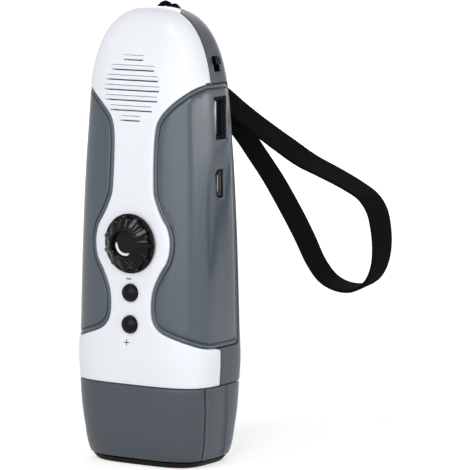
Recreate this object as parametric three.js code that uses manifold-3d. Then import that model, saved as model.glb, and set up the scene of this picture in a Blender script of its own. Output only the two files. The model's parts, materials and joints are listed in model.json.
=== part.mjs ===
// Hand crank flashlight with a radio: a domed body on a lamp head, side grips, a tuning knob,
// two push buttons, a slide switch, two sockets, a folding crank on the back and a wrist strap.
// Millimetres, +Z up. It stands on its lamp end: the front faces -Y, the sockets +X, the crank +Y.
import * as THREE from "three";
import { mergeVertices } from "three/addons/utils/BufferGeometryUtils.js";
import Module from "manifold-3d";

const wasm = await Module();
wasm.setup();

// Body form; a drop is how far below the body's top a thing is
const BODY_HEIGHT = 150;
const BODY_WIDTH = 52.2;
const BODY_DEPTH = 36.3;
const DEPTH_TAPER_SHARE = 0.16;
const SECTION_SQUARENESS = 3.7;
const DOME_SQUARENESS = 2.73;
const DOME_DROP = 42;
const DOME_START = BODY_HEIGHT - DOME_DROP;
const HEAD_TOP = 26.9;
const HEAD_FOOT = 2.1;
const PARTING_Y = -2.6;
const WALL = 2.2;
const GAP = 0.3;

// The body's half width up its height, as shares of the height and of half the width
const WIDTH_SHARES = [
  [0, 0.77],
  [0.0167, 0.843],
  [0.04, 0.888],
  [0.073, 0.919],
  [0.12, 0.957],
  [0.173, 0.979],
  [0.227, 1],
  [0.293, 0.992],
  [0.4, 0.981],
  [0.533, 0.962],
  [0.667, 0.93],
  [0.75, 0.9],
  [1, 0.885],
];
const DOME_RING_SHARES = [0, 0.3, 0.5, 0.66, 0.78, 0.87, 0.94, 0.98, 0.997];
const CORE_RING_SHARES = [0, 0.5, 0.78, 0.94];

// Heights of the front's lower features, as shares of the body's height
const KNOB_PLACE_SHARE = 0.4906667;
const MINUS_PLACE_SHARE = 0.3826667;
const PLUS_PLACE_SHARE = 0.3133333;
const GRIP_FOOT_SHARE = 0.264;
const KNOB_Z = BODY_HEIGHT * KNOB_PLACE_SHARE;
const MINUS_Z = BODY_HEIGHT * MINUS_PLACE_SHARE;
const PLUS_Z = BODY_HEIGHT * PLUS_PLACE_SHARE;
const GRIP_FOOT = BODY_HEIGHT * GRIP_FOOT_SHARE;

// Grips
const GRIP_DROP = 24.3;
const GRIP_TOP = BODY_HEIGHT - GRIP_DROP;
const GRIP_BACK_Y = 9.5;
const GRIP_THICKNESS = 1.3;
const GRIP_SINK = 0.35;
const GRIP_WALL = 1.4;
const GRIP_CORNER = 3;
const RIM_WIDTH = 1.4;
const GROOVE_WIDTH = 0.8;
const GROOVE_DEPTH = 0.55;
const SHOULDER_X = 22.5;
const SHOULDER_HEIGHT = 16.2;
const WAIST = 8;
const BULGE_MARGIN = 4.8;
const BULGE_END_SHARE = 1.08;
const BULGE_BLEND_SHARE = 1.24;
const BULGE_BLEND = 0.3;
const FOOT_RISE = 11;
const FOOT_REACH = 26;
// The grip's front edge: shoulder and foot, each as shares of its own width and height
const SHOULDER_SHARES = [
  [1, 0],
  [0.72, 0.18],
  [0.33, 0.46],
  [0.083, 0.72],
  [0, 1],
];
const FOOT_SHARES = [
  [0, 1],
  [0.055, 0.73],
  [0.19, 0.51],
  [0.58, 0.27],
  [0.81, 0.14],
  [1, 0],
];
const BULGE_ANGLES = [42, 20, 0, -20, -42];

// Speaker bars in the front shell
const SPEAKER_DROP = 25.9;
const SPEAKER_Z = BODY_HEIGHT - SPEAKER_DROP;
const BAR_COUNT = 7;
const BAR_PITCH = 3.28;
const BAR_HEIGHT = 1.3;
const BAR_RISE = 0.6;
const BAR_CIRCLE = 10.9;
const BAR_EDGE_SHARE = 0.27;
const SLIT_HEIGHT = 0.45;
const SLIT_END = 0.6;

// Tuning knob
const KNOB_RADIUS = 9.8;
const KNOB_FLANGE = 0.8;
const KNOB_HEIGHT = 3.7;
const KNOB_FOOT_RADIUS = 9;
const KNOB_TOP_RADIUS = 5.3;
const KNOB_DISC_RADIUS = 4.3;
const KNOB_DISH = 0.5;
const KNOB_BULGE_SHARE = 0.58;
const KNOB_FLUTES = 11;
const FLUTE_DEPTH = 0.75;
const SHAFT_RADIUS = 3;
const SHAFT_SEAT = 2.4;
const CAPACITOR_SIZE = 16;
const CAPACITOR_DEPTH = 7;
const CAPACITOR_NECK = 1;
const CAPACITOR_NECK_RADIUS = 4.4;
const SHAFT_BURY = 5;

// Push buttons
const BUTTON_RADIUS = 2.85;
const BUTTON_RISE = 1.3;
const BUTTON_CROWN = 0.7;
const BUTTON_FLANGE_RADIUS = 3.7;
const BUTTON_FLANGE = 0.9;
const BUTTON_STEM_RADIUS = 1.5;
const BUTTON_CLEARANCE = 0.8;
const TACT_SIZE = 6;
const TACT_DEPTH = 3.5;
const TACT_STEM = 1.9;
const TACT_STEM_RADIUS = 1.7;

// Main board
const BOARD_BACK_Y = -1.05;
const BOARD_THICKNESS = 1.6;
const BOARD_FOOT = 33;
const BOARD_DROP = 24;
const BOARD_TOP = BODY_HEIGHT - BOARD_DROP;
const BOARD_TAB_DROP = 14;
const BOARD_TAB_TOP = BODY_HEIGHT - BOARD_TAB_DROP;
const BOARD_TAB_LEFT = 9;
const BOARD_TAB_MARGIN = 0.2;
const BOARD_EDGE = 2;
const BOARD_MARGIN = 3.23;
const BOARD_STEP = 24;

// Sockets
const USB_DROP = 35.6;
const USB_Z = BODY_HEIGHT - USB_DROP;
const USB_Y = 2.2;
const USB_LENGTH = 13.2;
const USB_THICKNESS = 5.9;
const USB_DEPTH = 12.4;
const USB_MOUTH_X = 22.3;
const USB_SHEET = 0.4;
const USB_TONGUE_THICKNESS = 1.9;
const USB_TONGUE_LENGTH = 11;
const USB_TONGUE_OFFSET = 1.2;
const USB_TONGUE_SET_BACK = 1.6;
const USB_BLOCK_DEPTH = 2.4;
const MICRO_DROP = 56.8;
const MICRO_Z = BODY_HEIGHT - MICRO_DROP;
const MICRO_Y = -0.7;
const MICRO_LENGTH = 7.8;
const MICRO_THICKNESS = 2.9;
const MICRO_DEPTH = 5.6;
const MICRO_MARGIN = 0.66;
const MICRO_SHEET = 0.3;
const MICRO_CHAMFER = 0.9;
const MICRO_TONGUE_THICKNESS = 0.7;
const MICRO_TONGUE_LENGTH = 5.4;
const MICRO_BLOCK_DEPTH = 1.2;
const MICRO_TONGUE_SET_BACK = 0.6;
const SOCKET_MARGIN = 0.35;
const GRIP_SOCKET_MARGIN = 0.7;

// Slide switch
const SWITCH_Y = 2;
const SWITCH_DROP = 18.1;
const SWITCH_Z = BODY_HEIGHT - SWITCH_DROP;
const SWITCH_SLOT_WIDTH = 3.4;
const SWITCH_SLOT_HEIGHT = 5;
const SWITCH_NUB_HEIGHT = 2.2;
const SWITCH_NUB_WIDTH = 2.6;
const SWITCH_NUB_RISE = 0.9;
const SWITCH_BODY_WIDTH = 5.6;
const SWITCH_BODY_HEIGHT = 8.2;
const SWITCH_BODY_DEPTH = 3.4;
const SWITCH_BODY_MARGIN = 4.72;
const SWITCH_POCKET = 1.5;

// Speaker
const SPEAKER_FRONT_Y = -9.4;
const SPEAKER_RADIUS = 12.2;
const SPEAKER_RIM = 2;
const SPEAKER_RIM_DEPTH = 1.2;
const SPEAKER_DEPTH = 3;
const SPEAKER_WALL = 0.8;
const SPEAKER_BACK_RADIUS = 7.4;
const CONE_NECK_RADIUS = 3.2;
const CONE_DEPTH = 1.7;
const CONE_SHEET = 0.5;
const MAGNET_RADIUS = 6.8;

// Cell
const CELL_MARGIN = 2.18;
const CELL_RIGHT = 6;
const CELL_DROP = 38;
const CELL_FOOT = BODY_HEIGHT - CELL_DROP;
const CELL_HEIGHT = 21;
const CELL_THICKNESS = 7.5;
const CELL_CORNER = 1.5;

// Crank
const CRANK_Z = 66.5;
const CRANK_RADIUS = 28;
const CRANK_TIP = 5.5;
const SADDLE_Y = 13.2;
const SADDLE_WALL = 2;
const SADDLE_MARGIN = 1;
const SADDLE_RIM = 1.8;
const ARM_CLEARANCE = 0.6;
const ARM_WIDTH = 15;
const ARM_THICKNESS = 8.4;
const ARM_HUB_RADIUS = 8.5;
const ARM_HUB_THICKNESS = 5.2;
const ARM_CORNER = 4;
const ARM_SLOT = 9.2;
const ARM_SLOT_START = 7;
const ARM_SLOPE = 3;
const CRANK_SHAFT_RADIUS = 2.6;
const CRANK_SHAFT_INNER_Y = -0.4;
const CRANK_SHAFT_SEAT = 3.2;
const CRANK_SCREW_HEAD_RADIUS = 3.2;
const CRANK_SCREW_HEAD = 1.6;
const CRANK_SCREW_RADIUS = 1.1;
const CRANK_SCREW_LENGTH = 4.4;
const BUSHING_RADIUS = 4.4;
const BUSHING_FLANGE_RADIUS = 6;
const BUSHING_FLANGE = 0.8;
const FOLD_PIN_RADIUS = 1.1;
const FOLD_EYE_RADIUS = 3.2;
const FOLD_EYE_WIDTH = 8.4;
const GRIP_ROD_RADIUS = 1.6;
const SLEEVE_RADIUS = 3.95;
const SLEEVE_WAIST = 3.5;
const SLEEVE_LENGTH = 15.6;
const ROD_HEAD_RADIUS = 2.7;
const ROD_HEAD = 0.8;

// Gear train
const PRESSURE_ANGLE = 22;
const DRIVE_TEETH = 36;
const DRIVE_MODULE = 0.9;
const DRIVE_FACE = 2.8;
const DRIVE_BACK_Y = 10.4;
const DRIVE_HUB_RADIUS = 5;
const DRIVE_HUB = 2;
const DRIVE_WINDOWS = 5;
const DRIVE_WINDOW_RADIUS = 3.1;
const DRIVE_WINDOW_PLACE = 9.6;
const PINION_TEETH = 10;
const WHEEL_TEETH = 28;
const WHEEL_MODULE = 0.7;
const WHEEL_FACE = 1.8;
const WHEEL_BACK_Y = 7.2;
const DEDENDUM_SHARE = 1.15;
const ADDENDUM_SHARE = 0.85;
const GEAR_BACKLASH = 0.08;
const COMPOUND_PIN_RADIUS = 1.2;
const COMPOUND_PIN_SINK = 0.8;
const ROTOR_SHAFT_RADIUS = 1;
const ROTOR_BURY = 0.9;
const GENERATOR_RADIUS = 11;
const GENERATOR_FRONT_Y = 0.95;
const GENERATOR_DEPTH = 4.05;
const GENERATOR_STEP = 0.8;
const GENERATOR_STEP_RADIUS = 9.2;
const PLATE_THICKNESS = 1.4;
const PLATE_HALF_WIDTH = 12;
const PLATE_TOP = 107.2;

// Case screws, whose places bosses, board and gearbox plate share
const SCREW_RADIUS = 1.3;
const SCREW_HEAD_RADIUS = 2.5;
const SCREW_HEAD = 1.6;
const SCREW_COVER = 0.4;
const SCREW_LENGTH = 17.5;
const TOP_SCREW_LENGTH = 10.5;
const BOSS_RADIUS = 3.6;
const EAR_RADIUS = 3.6;
const EAR_CORNER = 2.4;
const LOW_SCREW_X = 15.5;
const LOW_SCREW_Z = 37.5;
const MIDDLE_SCREW_X = 16;
const MIDDLE_SCREW_Z = 83;
const TOP_SCREW_X = 10.5;
const TOP_SCREW_DROP = 9.8;
const TOP_SCREW_Z = BODY_HEIGHT - TOP_SCREW_DROP;
const TOP_SCREW_SEAT_Y = 4.8;

// Lamp head
const COLLAR_RISE = 3;
const COLLAR_WALL = 1.6;
const HEAD_PLATE = 3;
const WIRE_HOLE_WIDTH = 16;
const WIRE_HOLE_DEPTH = 8;
const CHANNEL_DEPTH = 0.5;
const CHANNEL_TOP_FRONT_Y = -9.6;
const CHANNEL_TOP_BACK_Y = 0;
const CHANNEL_FOOT_FRONT_Y = -7;
const CHANNEL_FOOT_BACK_Y = 1;
const BEZEL_SINK = 0.3;
const BEZEL_SPIGOT_TOP = 7;
const BEZEL_SPIGOT_WALL = 1.5;
const BEZEL_LIP = 2;
const BEZEL_LIP_DEPTH = 1;
const LENS_THICKNESS = 1.8;
const REFLECTOR_DEPTH = 11.5;
const LED_COUNT = 3;
const LED_PITCH = 12.4;
const LED_RADIUS = 2.5;
const LED_LENGTH = 5.2;
const LED_FLANGE_RADIUS = 2.9;
const LED_FLANGE = 0.8;
const CUP_RADIUS = 5.8;
const CUP_NECK_RADIUS = 3.3;
const LED_BOARD_THICKNESS = 1.6;

// Lanyard and strap
const NOTCH_HALF_WIDTH = 6;
const NOTCH_FRONT_Y = 1.6;
const NOTCH_DROP = 9.8;
const NOTCH_FLOOR = BODY_HEIGHT - NOTCH_DROP;
const NOTCH_WALL = 1.6;
const LUG_Y = 7;
const LUG_DROP = 3.6;
const LUG_Z = BODY_HEIGHT - LUG_DROP;
const LUG_PIN_RADIUS = 1.5;
const LUG_PIN_SEAT = 1.4;
const CORD_DIAMETER = 1.8;
const CORD_SIDES = 8;
const CORD_STEPS = 36;
const CRIMP_WALL = 0.7;
const CRIMP_HEIGHT = 5.4;
const CRIMP_PLATE = 2.4;
const CRIMP_CORNER = 1;
const CRIMP_Y = 21;
const CRIMP_DROP = 22.6;
const CRIMP_FOOT = BODY_HEIGHT - CRIMP_DROP;
const STRAP_WIDTH = 12;
const STRAP_THICKNESS = 1.2;
const STRAP_STEPS = 48;

// Facets
const SECTION_POINTS = 24;
const CORE_POINTS = 16;
const ROUND_SEGMENTS = 12;
const SMALL_SEGMENTS = 8;
const LARGE_SEGMENTS = 20;
const EDGE_STEPS = 21;
const MERGE_DISTANCE = 1e-4;

// Looks
const GLOSS_WHITE = { colour: 0xf4f5f7, roughness: 0.25, metalness: 0 };
const MATTE_GRIP = { colour: 0x6d757c, roughness: 0.45, metalness: 0 };
const MATTE_SHELL = { colour: 0x6a7278, roughness: 0.45, metalness: 0 };
const MATTE_HEAD = { colour: 0x5d646a, roughness: 0.45, metalness: 0 };
const GLOSS_BLACK = { colour: 0x121315, roughness: 0.3, metalness: 0 };
const MATTE_BLACK = { colour: 0x121315, roughness: 0.8, metalness: 0 };
const GLASS = { colour: 0xdfe8ee, roughness: 0.05, metalness: 0 };
const MIRROR = { colour: 0xd8dadd, roughness: 0.1, metalness: 1 };
const BRIGHT_STEEL = { colour: 0xb9bcc0, roughness: 0.3, metalness: 1 };
const BRIGHT_BRASS = { colour: 0xb79a55, roughness: 0.35, metalness: 1 };
const BOARD = { colour: 0x1f5a3a, roughness: 0.5, metalness: 0 };
const BLUE_WRAP = { colour: 0x2b5fa8, roughness: 0.4, metalness: 0 };
const GEAR_WHITE = { colour: 0xe8e4d8, roughness: 0.55, metalness: 0 };

const model = new THREE.Group();

// Solids and meshes
function solidFrom(geometry) {
  const bare = geometry.index ? geometry.toNonIndexed() : geometry.clone();
  bare.deleteAttribute("normal");
  bare.deleteAttribute("uv");
  const merged = mergeVertices(bare, MERGE_DISTANCE);
  return new wasm.Manifold(
    new wasm.Mesh({
      numProp: 3,
      vertProperties: merged.attributes.position.array,
      triVerts: new Uint32Array(merged.index.array),
    }),
  );
}

function geometryFrom(solid) {
  const mesh = solid.getMesh();
  const geometry = new THREE.BufferGeometry();
  geometry.setAttribute("position", new THREE.BufferAttribute(mesh.vertProperties, 3));
  geometry.setIndex(new THREE.BufferAttribute(mesh.triVerts, 1));
  geometry.computeVertexNormals();
  return geometry;
}

function joined(solids) {
  return solids.reduce((whole, next) => whole.add(next));
}

function piece(name, shape, look, place = [0, 0, 0], parent = model) {
  const geometry = shape.isBufferGeometry ? shape : geometryFrom(shape);
  const material = new THREE.MeshStandardMaterial({
    color: look.colour,
    roughness: look.roughness,
    metalness: look.metalness,
  });
  const mesh = new THREE.Mesh(geometry, material);
  mesh.name = name;
  mesh.position.set(...place);
  parent.add(mesh);
  return mesh;
}

// Basic forms, each in the part's own axes
function prismY(shape, fromY, toY, segments = 1) {
  const geometry = new THREE.ExtrudeGeometry(shape, {
    depth: toY - fromY,
    bevelEnabled: false,
    curveSegments: segments,
  });
  geometry.rotateX(Math.PI / 2);
  geometry.translate(0, toY, 0);
  return solidFrom(geometry);
}

function prismX(shape, fromX, toX, segments = 1) {
  const geometry = new THREE.ExtrudeGeometry(shape, {
    depth: toX - fromX,
    bevelEnabled: false,
    curveSegments: segments,
  });
  const turn = new THREE.Matrix4().makeBasis(
    new THREE.Vector3(0, 1, 0),
    new THREE.Vector3(0, 0, 1),
    new THREE.Vector3(1, 0, 0),
  );
  geometry.applyMatrix4(turn);
  geometry.translate(fromX, 0, 0);
  return solidFrom(geometry);
}

function block(low, high) {
  const size = high.map((value, axis) => value - low[axis]);
  const geometry = new THREE.BoxGeometry(...size);
  geometry.translate(...low.map((value, axis) => value + size[axis] / 2));
  return solidFrom(geometry);
}

// A turned form from [radius, place along the axis] pairs, its axis on Z, Y or X
function turned(profile, segments, axis = "z") {
  const points = profile.map(([radius, along]) => new THREE.Vector2(radius, along));
  const geometry = new THREE.LatheGeometry(points, segments);
  if (axis === "z") geometry.rotateX(Math.PI / 2);
  if (axis === "x") geometry.rotateZ(-Math.PI / 2);
  return solidFrom(geometry);
}

function rod(radius, from, to, segments, axis) {
  return turned([[0, from], [radius, from], [radius, to], [0, to]], segments, axis);
}

function ring(outer, inner, from, to, segments, axis) {
  return turned([[inner, from], [outer, from], [outer, to], [inner, to], [inner, from]], segments, axis);
}

function polygon(points) {
  return new THREE.Shape(points.map(([x, y]) => new THREE.Vector2(x, y)));
}

function roundedRectangle(left, right, low, high, radius) {
  const shape = new THREE.Shape();
  shape.moveTo(left + radius, low);
  shape.lineTo(right - radius, low);
  shape.absarc(right - radius, low + radius, radius, -Math.PI / 2, 0);
  shape.lineTo(right, high - radius);
  shape.absarc(right - radius, high - radius, radius, 0, Math.PI / 2);
  shape.lineTo(left + radius, high);
  shape.absarc(left + radius, high - radius, radius, Math.PI / 2, Math.PI);
  shape.lineTo(left, low + radius);
  shape.absarc(left + radius, low + radius, radius, Math.PI, Math.PI * 1.5);
  return shape;
}

// Body sections: superellipses that follow the width shares and close in a dome
function widthShare(z) {
  const share = THREE.MathUtils.clamp(z / BODY_HEIGHT, 0, 1);
  const next = Math.max(1, WIDTH_SHARES.findIndex(([height]) => height >= share));
  const [lowHeight, lowWidth] = WIDTH_SHARES[next - 1];
  const [highHeight, highWidth] = WIDTH_SHARES[next];
  const along = (share - lowHeight) / (highHeight - lowHeight);
  return lowWidth + (highWidth - lowWidth) * along;
}

function domeShare(z, inset) {
  const top = BODY_HEIGHT - inset;
  const along = (z - DOME_START) / (top - DOME_START);
  const held = THREE.MathUtils.clamp(along, 0, DOME_RING_SHARES.at(-1));
  return (1 - held ** DOME_SQUARENESS) ** (1 / DOME_SQUARENESS);
}

function halfWidth(z, inset = 0) {
  return (BODY_WIDTH / 2 * widthShare(z) - inset) * domeShare(z, inset);
}

function halfDepth(z, inset = 0) {
  const taper = 1 - DEPTH_TAPER_SHARE * z / BODY_HEIGHT;
  return (BODY_DEPTH / 2 * widthShare(z) * taper - inset) * domeShare(z, inset);
}

// How far the section reaches along X at y
function reachX(y, z, inset = 0) {
  const across = Math.min(Math.abs(y) / halfDepth(z, inset), 1);
  return halfWidth(z, inset) * (1 - across ** SECTION_SQUARENESS) ** (1 / SECTION_SQUARENESS);
}

function sectionRing(z, inset, count) {
  const power = 2 / SECTION_SQUARENESS;
  return Array.from({ length: count }, (_, index) => {
    const angle = (index / count) * Math.PI * 2;
    const across = Math.cos(angle);
    const along = Math.sin(angle);
    return [
      halfWidth(z, inset) * Math.sign(across) * Math.abs(across) ** power,
      halfDepth(z, inset) * Math.sign(along) * Math.abs(along) ** power,
      z,
    ];
  });
}

// A closed solid through rings of equal counts, listed from the lowest up
function loft(rings) {
  const count = rings[0].length;
  const positions = rings.flat(2);
  const index = [];
  for (let level = 0; level + 1 < rings.length; level += 1) {
    for (let side = 0; side < count; side += 1) {
      const next = (side + 1) % count;
      const low = level * count;
      const high = low + count;
      index.push(low + side, low + next, high + next);
      index.push(low + side, high + next, high + side);
    }
  }
  const last = (rings.length - 1) * count;
  for (let side = 1; side + 1 < count; side += 1) {
    index.push(0, side + 1, side);
    index.push(last, last + side, last + side + 1);
  }
  const geometry = new THREE.BufferGeometry();
  geometry.setAttribute("position", new THREE.Float32BufferAttribute(positions, 3));
  geometry.setIndex(index);
  return solidFrom(geometry);
}

// The body's form inset by a wall, between two heights; a core is the same with fewer facets
function bodySolid(inset, lowZ, highZ = BODY_HEIGHT, isCore = false) {
  const top = BODY_HEIGHT - inset;
  const straight = WIDTH_SHARES.map(([share]) => share * BODY_HEIGHT);
  const domeShares = isCore ? CORE_RING_SHARES : DOME_RING_SHARES;
  const dome = domeShares.map((share) => DOME_START + share * (top - DOME_START));
  const levels = [...straight.filter((z) => z < DOME_START), ...dome];
  const kept = levels.filter((z) => z > lowZ && z < highZ);
  if (highZ < top) kept.push(highZ);
  const count = isCore ? CORE_POINTS : SECTION_POINTS;
  return loft([lowZ, ...kept].map((z) => sectionRing(z, inset, count)));
}

function bodyCore(inset, lowZ, highZ = BODY_HEIGHT) {
  return bodySolid(inset, lowZ, highZ, true);
}

function everywhere(fromY, toY, fromZ, toZ) {
  return block([-BODY_WIDTH, fromY, fromZ], [BODY_WIDTH, toY, toZ]);
}

// The grip's front edge on the +X side, as points from its top to its foot
const bulgeRadius = KNOB_RADIUS + BULGE_MARGIN;

function gripEdge() {
  const shoulder = SHOULDER_SHARES.map(([across, down]) => [
    WAIST + (SHOULDER_X - WAIST) * across,
    GRIP_TOP - SHOULDER_HEIGHT * down,
  ]);
  const bulge = BULGE_ANGLES.map((degrees) => {
    const angle = THREE.MathUtils.degToRad(degrees);
    return [bulgeRadius * Math.cos(angle), KNOB_Z + bulgeRadius * Math.sin(angle)];
  });
  const foot = FOOT_SHARES.map(([across, up]) => [
    WAIST + (FOOT_REACH - WAIST) * across,
    GRIP_FOOT + FOOT_RISE * up,
  ]);
  const points = [
    ...shoulder,
    [WAIST, KNOB_Z + bulgeRadius * BULGE_BLEND_SHARE],
    [WAIST + BULGE_BLEND, KNOB_Z + bulgeRadius * BULGE_END_SHARE],
    ...bulge,
    [WAIST + BULGE_BLEND, KNOB_Z - bulgeRadius * BULGE_END_SHARE],
    ...foot,
  ].map(([x, z]) => new THREE.Vector3(x, 0, z));
  return new THREE.CatmullRomCurve3(points, false, "centripetal").getSpacedPoints(EDGE_STEPS);
}

function gripZone(inset) {
  const edge = gripEdge();
  const shifted = edge.map((point, index) => {
    const before = edge[Math.max(0, index - 1)];
    const after = edge[Math.min(edge.length - 1, index + 1)];
    const along = after.clone().sub(before).normalize();
    return [point.x - along.z * inset, point.z + along.x * inset];
  });
  const outline = [
    [BODY_WIDTH, GRIP_TOP - inset],
    ...shifted,
    [BODY_WIDTH, GRIP_FOOT + inset],
  ];
  const front = prismY(polygon(outline), -BODY_DEPTH, BODY_DEPTH);
  const side = roundedRectangle(
    -BODY_DEPTH,
    GRIP_BACK_Y - inset,
    GRIP_FOOT + inset,
    GRIP_TOP - inset,
    GRIP_CORNER,
  );
  return front.intersect(prismX(side, 0, BODY_WIDTH, 4));
}

function mirroredX(solid) {
  return solid.mirror([1, 0, 0]);
}

function bothSides(solid) {
  return solid.add(mirroredX(solid));
}

// Sizes that several pieces share
const gripInner = GRIP_SINK + GRIP_THICKNESS;
const recessInset = gripInner + GAP;
const recessCore = recessInset + GRIP_WALL;
const boardFrontY = BOARD_BACK_Y - BOARD_THICKNESS;
const plateFrontY = BOARD_BACK_Y + GAP;
const plateBackY = plateFrontY + PLATE_THICKNESS;
const shellFoot = HEAD_TOP + GAP;
const armBackY = SADDLE_Y + ARM_CLEARANCE;
const armFrontY = armBackY + ARM_THICKNESS;
const crankReach = CRANK_RADIUS + CRANK_TIP;
const pinionDistance = (DRIVE_MODULE * (DRIVE_TEETH + PINION_TEETH)) / 2;
const wheelDistance = (WHEEL_MODULE * (WHEEL_TEETH + PINION_TEETH)) / 2;
const compoundZ = CRANK_Z + pinionDistance;
const generatorZ = compoundZ + wheelDistance;
const sides = [-1, 1];
const lowScrews = sides.flatMap((side) => [
  [side * LOW_SCREW_X, LOW_SCREW_Z],
  [side * MIDDLE_SCREW_X, MIDDLE_SCREW_Z],
]);
const topScrews = sides.map((side) => [side * TOP_SCREW_X, TOP_SCREW_Z]);
const microMouthX = halfWidth(MICRO_Z) - MICRO_MARGIN;
const switchBodyX = halfWidth(SWITCH_Z) - SWITCH_BODY_MARGIN;
const boardHalfWidth = MIDDLE_SCREW_X + BOARD_EDGE;
const boardTopHalfWidth = halfWidth(BOARD_TOP, WALL) - BOARD_MARGIN;
const boardTabRight = switchBodyX - BOARD_TAB_MARGIN;
const cellLeft = CELL_MARGIN - halfWidth(CELL_FOOT + CELL_HEIGHT, WALL);

function stadium(halfLength, halfHeight) {
  const shape = new THREE.Shape();
  shape.moveTo(-halfLength + halfHeight, -halfHeight);
  shape.lineTo(halfLength - halfHeight, -halfHeight);
  shape.absarc(halfLength - halfHeight, 0, halfHeight, -Math.PI / 2, Math.PI / 2);
  shape.lineTo(-halfLength + halfHeight, halfHeight);
  shape.absarc(-halfLength + halfHeight, 0, halfHeight, Math.PI / 2, Math.PI * 1.5);
  return shape;
}

// Shells: the hollow is narrower between the foot and the dome, behind the grips' recesses
const collarTop = HEAD_TOP + COLLAR_RISE;
const core = joined([
  bodyCore(WALL, HEAD_FOOT, collarTop + GAP),
  bodyCore(recessCore, HEAD_FOOT),
  bodyCore(WALL, GRIP_TOP + GRIP_WALL),
]);
const recess = bothSides(gripZone(-GAP / 2)).subtract(bodyCore(recessInset, 0));
const wallCentre = bodyCore(WALL / 2, HEAD_FOOT);
const frontHalf = everywhere(-BODY_DEPTH, PARTING_Y - GAP / 2, shellFoot, BODY_HEIGHT + WALL);
const rearHalf = everywhere(PARTING_Y + GAP / 2, BODY_DEPTH, shellFoot, BODY_HEIGHT + WALL);

function boss(fromY, toY) {
  return ring(BOSS_RADIUS, SCREW_RADIUS + GAP, fromY, toY, SMALL_SEGMENTS, "y");
}

// The openings for the two sockets, larger than each socket by a margin
function socketCuts(margin) {
  const halfLength = USB_LENGTH / 2 + SOCKET_MARGIN;
  const halfThickness = USB_THICKNESS / 2 + margin;
  const usb = block(
    [USB_MOUTH_X - USB_DEPTH, USB_Y - halfThickness, USB_Z - halfLength],
    [BODY_WIDTH, USB_Y + halfThickness, USB_Z + halfLength],
  );
  return usb.add(prismX(microOutline(margin), microMouthX - MICRO_DEPTH, BODY_WIDTH));
}

// The micro socket's outline: its two corners towards the front are cut off
function microOutline(grow) {
  const front = MICRO_Y - MICRO_THICKNESS / 2 - grow;
  const back = MICRO_Y + MICRO_THICKNESS / 2 + grow;
  const low = MICRO_Z - MICRO_LENGTH / 2 - grow;
  const high = MICRO_Z + MICRO_LENGTH / 2 + grow;
  const cut = MICRO_CHAMFER + Math.max(grow, 0) / 2;
  return polygon([
    [front, low + cut],
    [front + cut, low],
    [back, low],
    [back, high],
    [front + cut, high],
    [front, high - cut],
  ]);
}

// Speaker bars: raised stripes across the dome, cut to a circle, each with a slit below it
function speakerRows() {
  return Array.from({ length: BAR_COUNT }, (_, index) => {
    const rise = (index - (BAR_COUNT - 1) / 2) * BAR_PITCH;
    const edge = Math.abs(rise) + BAR_HEIGHT * BAR_EDGE_SHARE;
    return { z: SPEAKER_Z + rise, half: Math.sqrt(BAR_CIRCLE ** 2 - edge ** 2) };
  });
}

function speakerBar({ z, half }) {
  const raised = bodySolid(-BAR_RISE, z - BAR_PITCH, z + BAR_PITCH);
  const stripe = prismY(stadium(half, BAR_HEIGHT / 2), -BODY_DEPTH, SPEAKER_FRONT_Y, 2);
  return raised.intersect(stripe.translate(0, 0, z)).subtract(wallCentre);
}

function speakerSlit({ z, half }) {
  const top = z - BAR_HEIGHT / 2;
  return block(
    [-half + SLIT_END, -BODY_DEPTH, top - SLIT_HEIGHT],
    [half - SLIT_END, SPEAKER_FRONT_Y - GAP, top],
  );
}

function frontShell() {
  const lowBosses = lowScrews.map(([x, z]) => boss(-BODY_DEPTH, boardFrontY - GAP).translate(x, 0, z));
  const topBosses = topScrews.map(([x, z]) => boss(-BODY_DEPTH, 0).translate(x, 0, z));
  const seat = ring(
    SPEAKER_RADIUS + GAP,
    SPEAKER_RADIUS - SPEAKER_RIM,
    -BODY_DEPTH,
    SPEAKER_FRONT_Y - GAP,
    LARGE_SEGMENTS,
    "y",
  ).translate(0, 0, SPEAKER_Z);
  const inside = joined([...lowBosses, ...topBosses, seat]).intersect(wallCentre).intersect(frontHalf);
  const rows = speakerRows();
  const shaftHole = rod(SHAFT_RADIUS + GAP, -BODY_DEPTH, 0, ROUND_SEGMENTS, "y").translate(0, 0, KNOB_Z);
  const buttonHoles = [MINUS_Z, PLUS_Z].map((z) =>
    rod(BUTTON_RADIUS + GAP, -BODY_DEPTH, 0, ROUND_SEGMENTS, "y").translate(0, 0, z),
  );
  return bodySolid(0, HEAD_FOOT)
    .intersect(frontHalf)
    .subtract(core)
    .add(inside)
    .subtract(recess)
    .add(joined(rows.map(speakerBar)))
    .subtract(joined([...rows.map(speakerSlit), shaftHole, ...buttonHoles]));
}

// Rear shell: the saddle for the crank, its bushing and pins, and the notch for the lanyard
const saddleLow = CRANK_Z - crankReach - SADDLE_MARGIN;
const saddleHigh = CRANK_Z + crankReach + SADDLE_MARGIN;
const lowSeatY = SADDLE_Y - SCREW_COVER - SCREW_HEAD;

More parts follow.
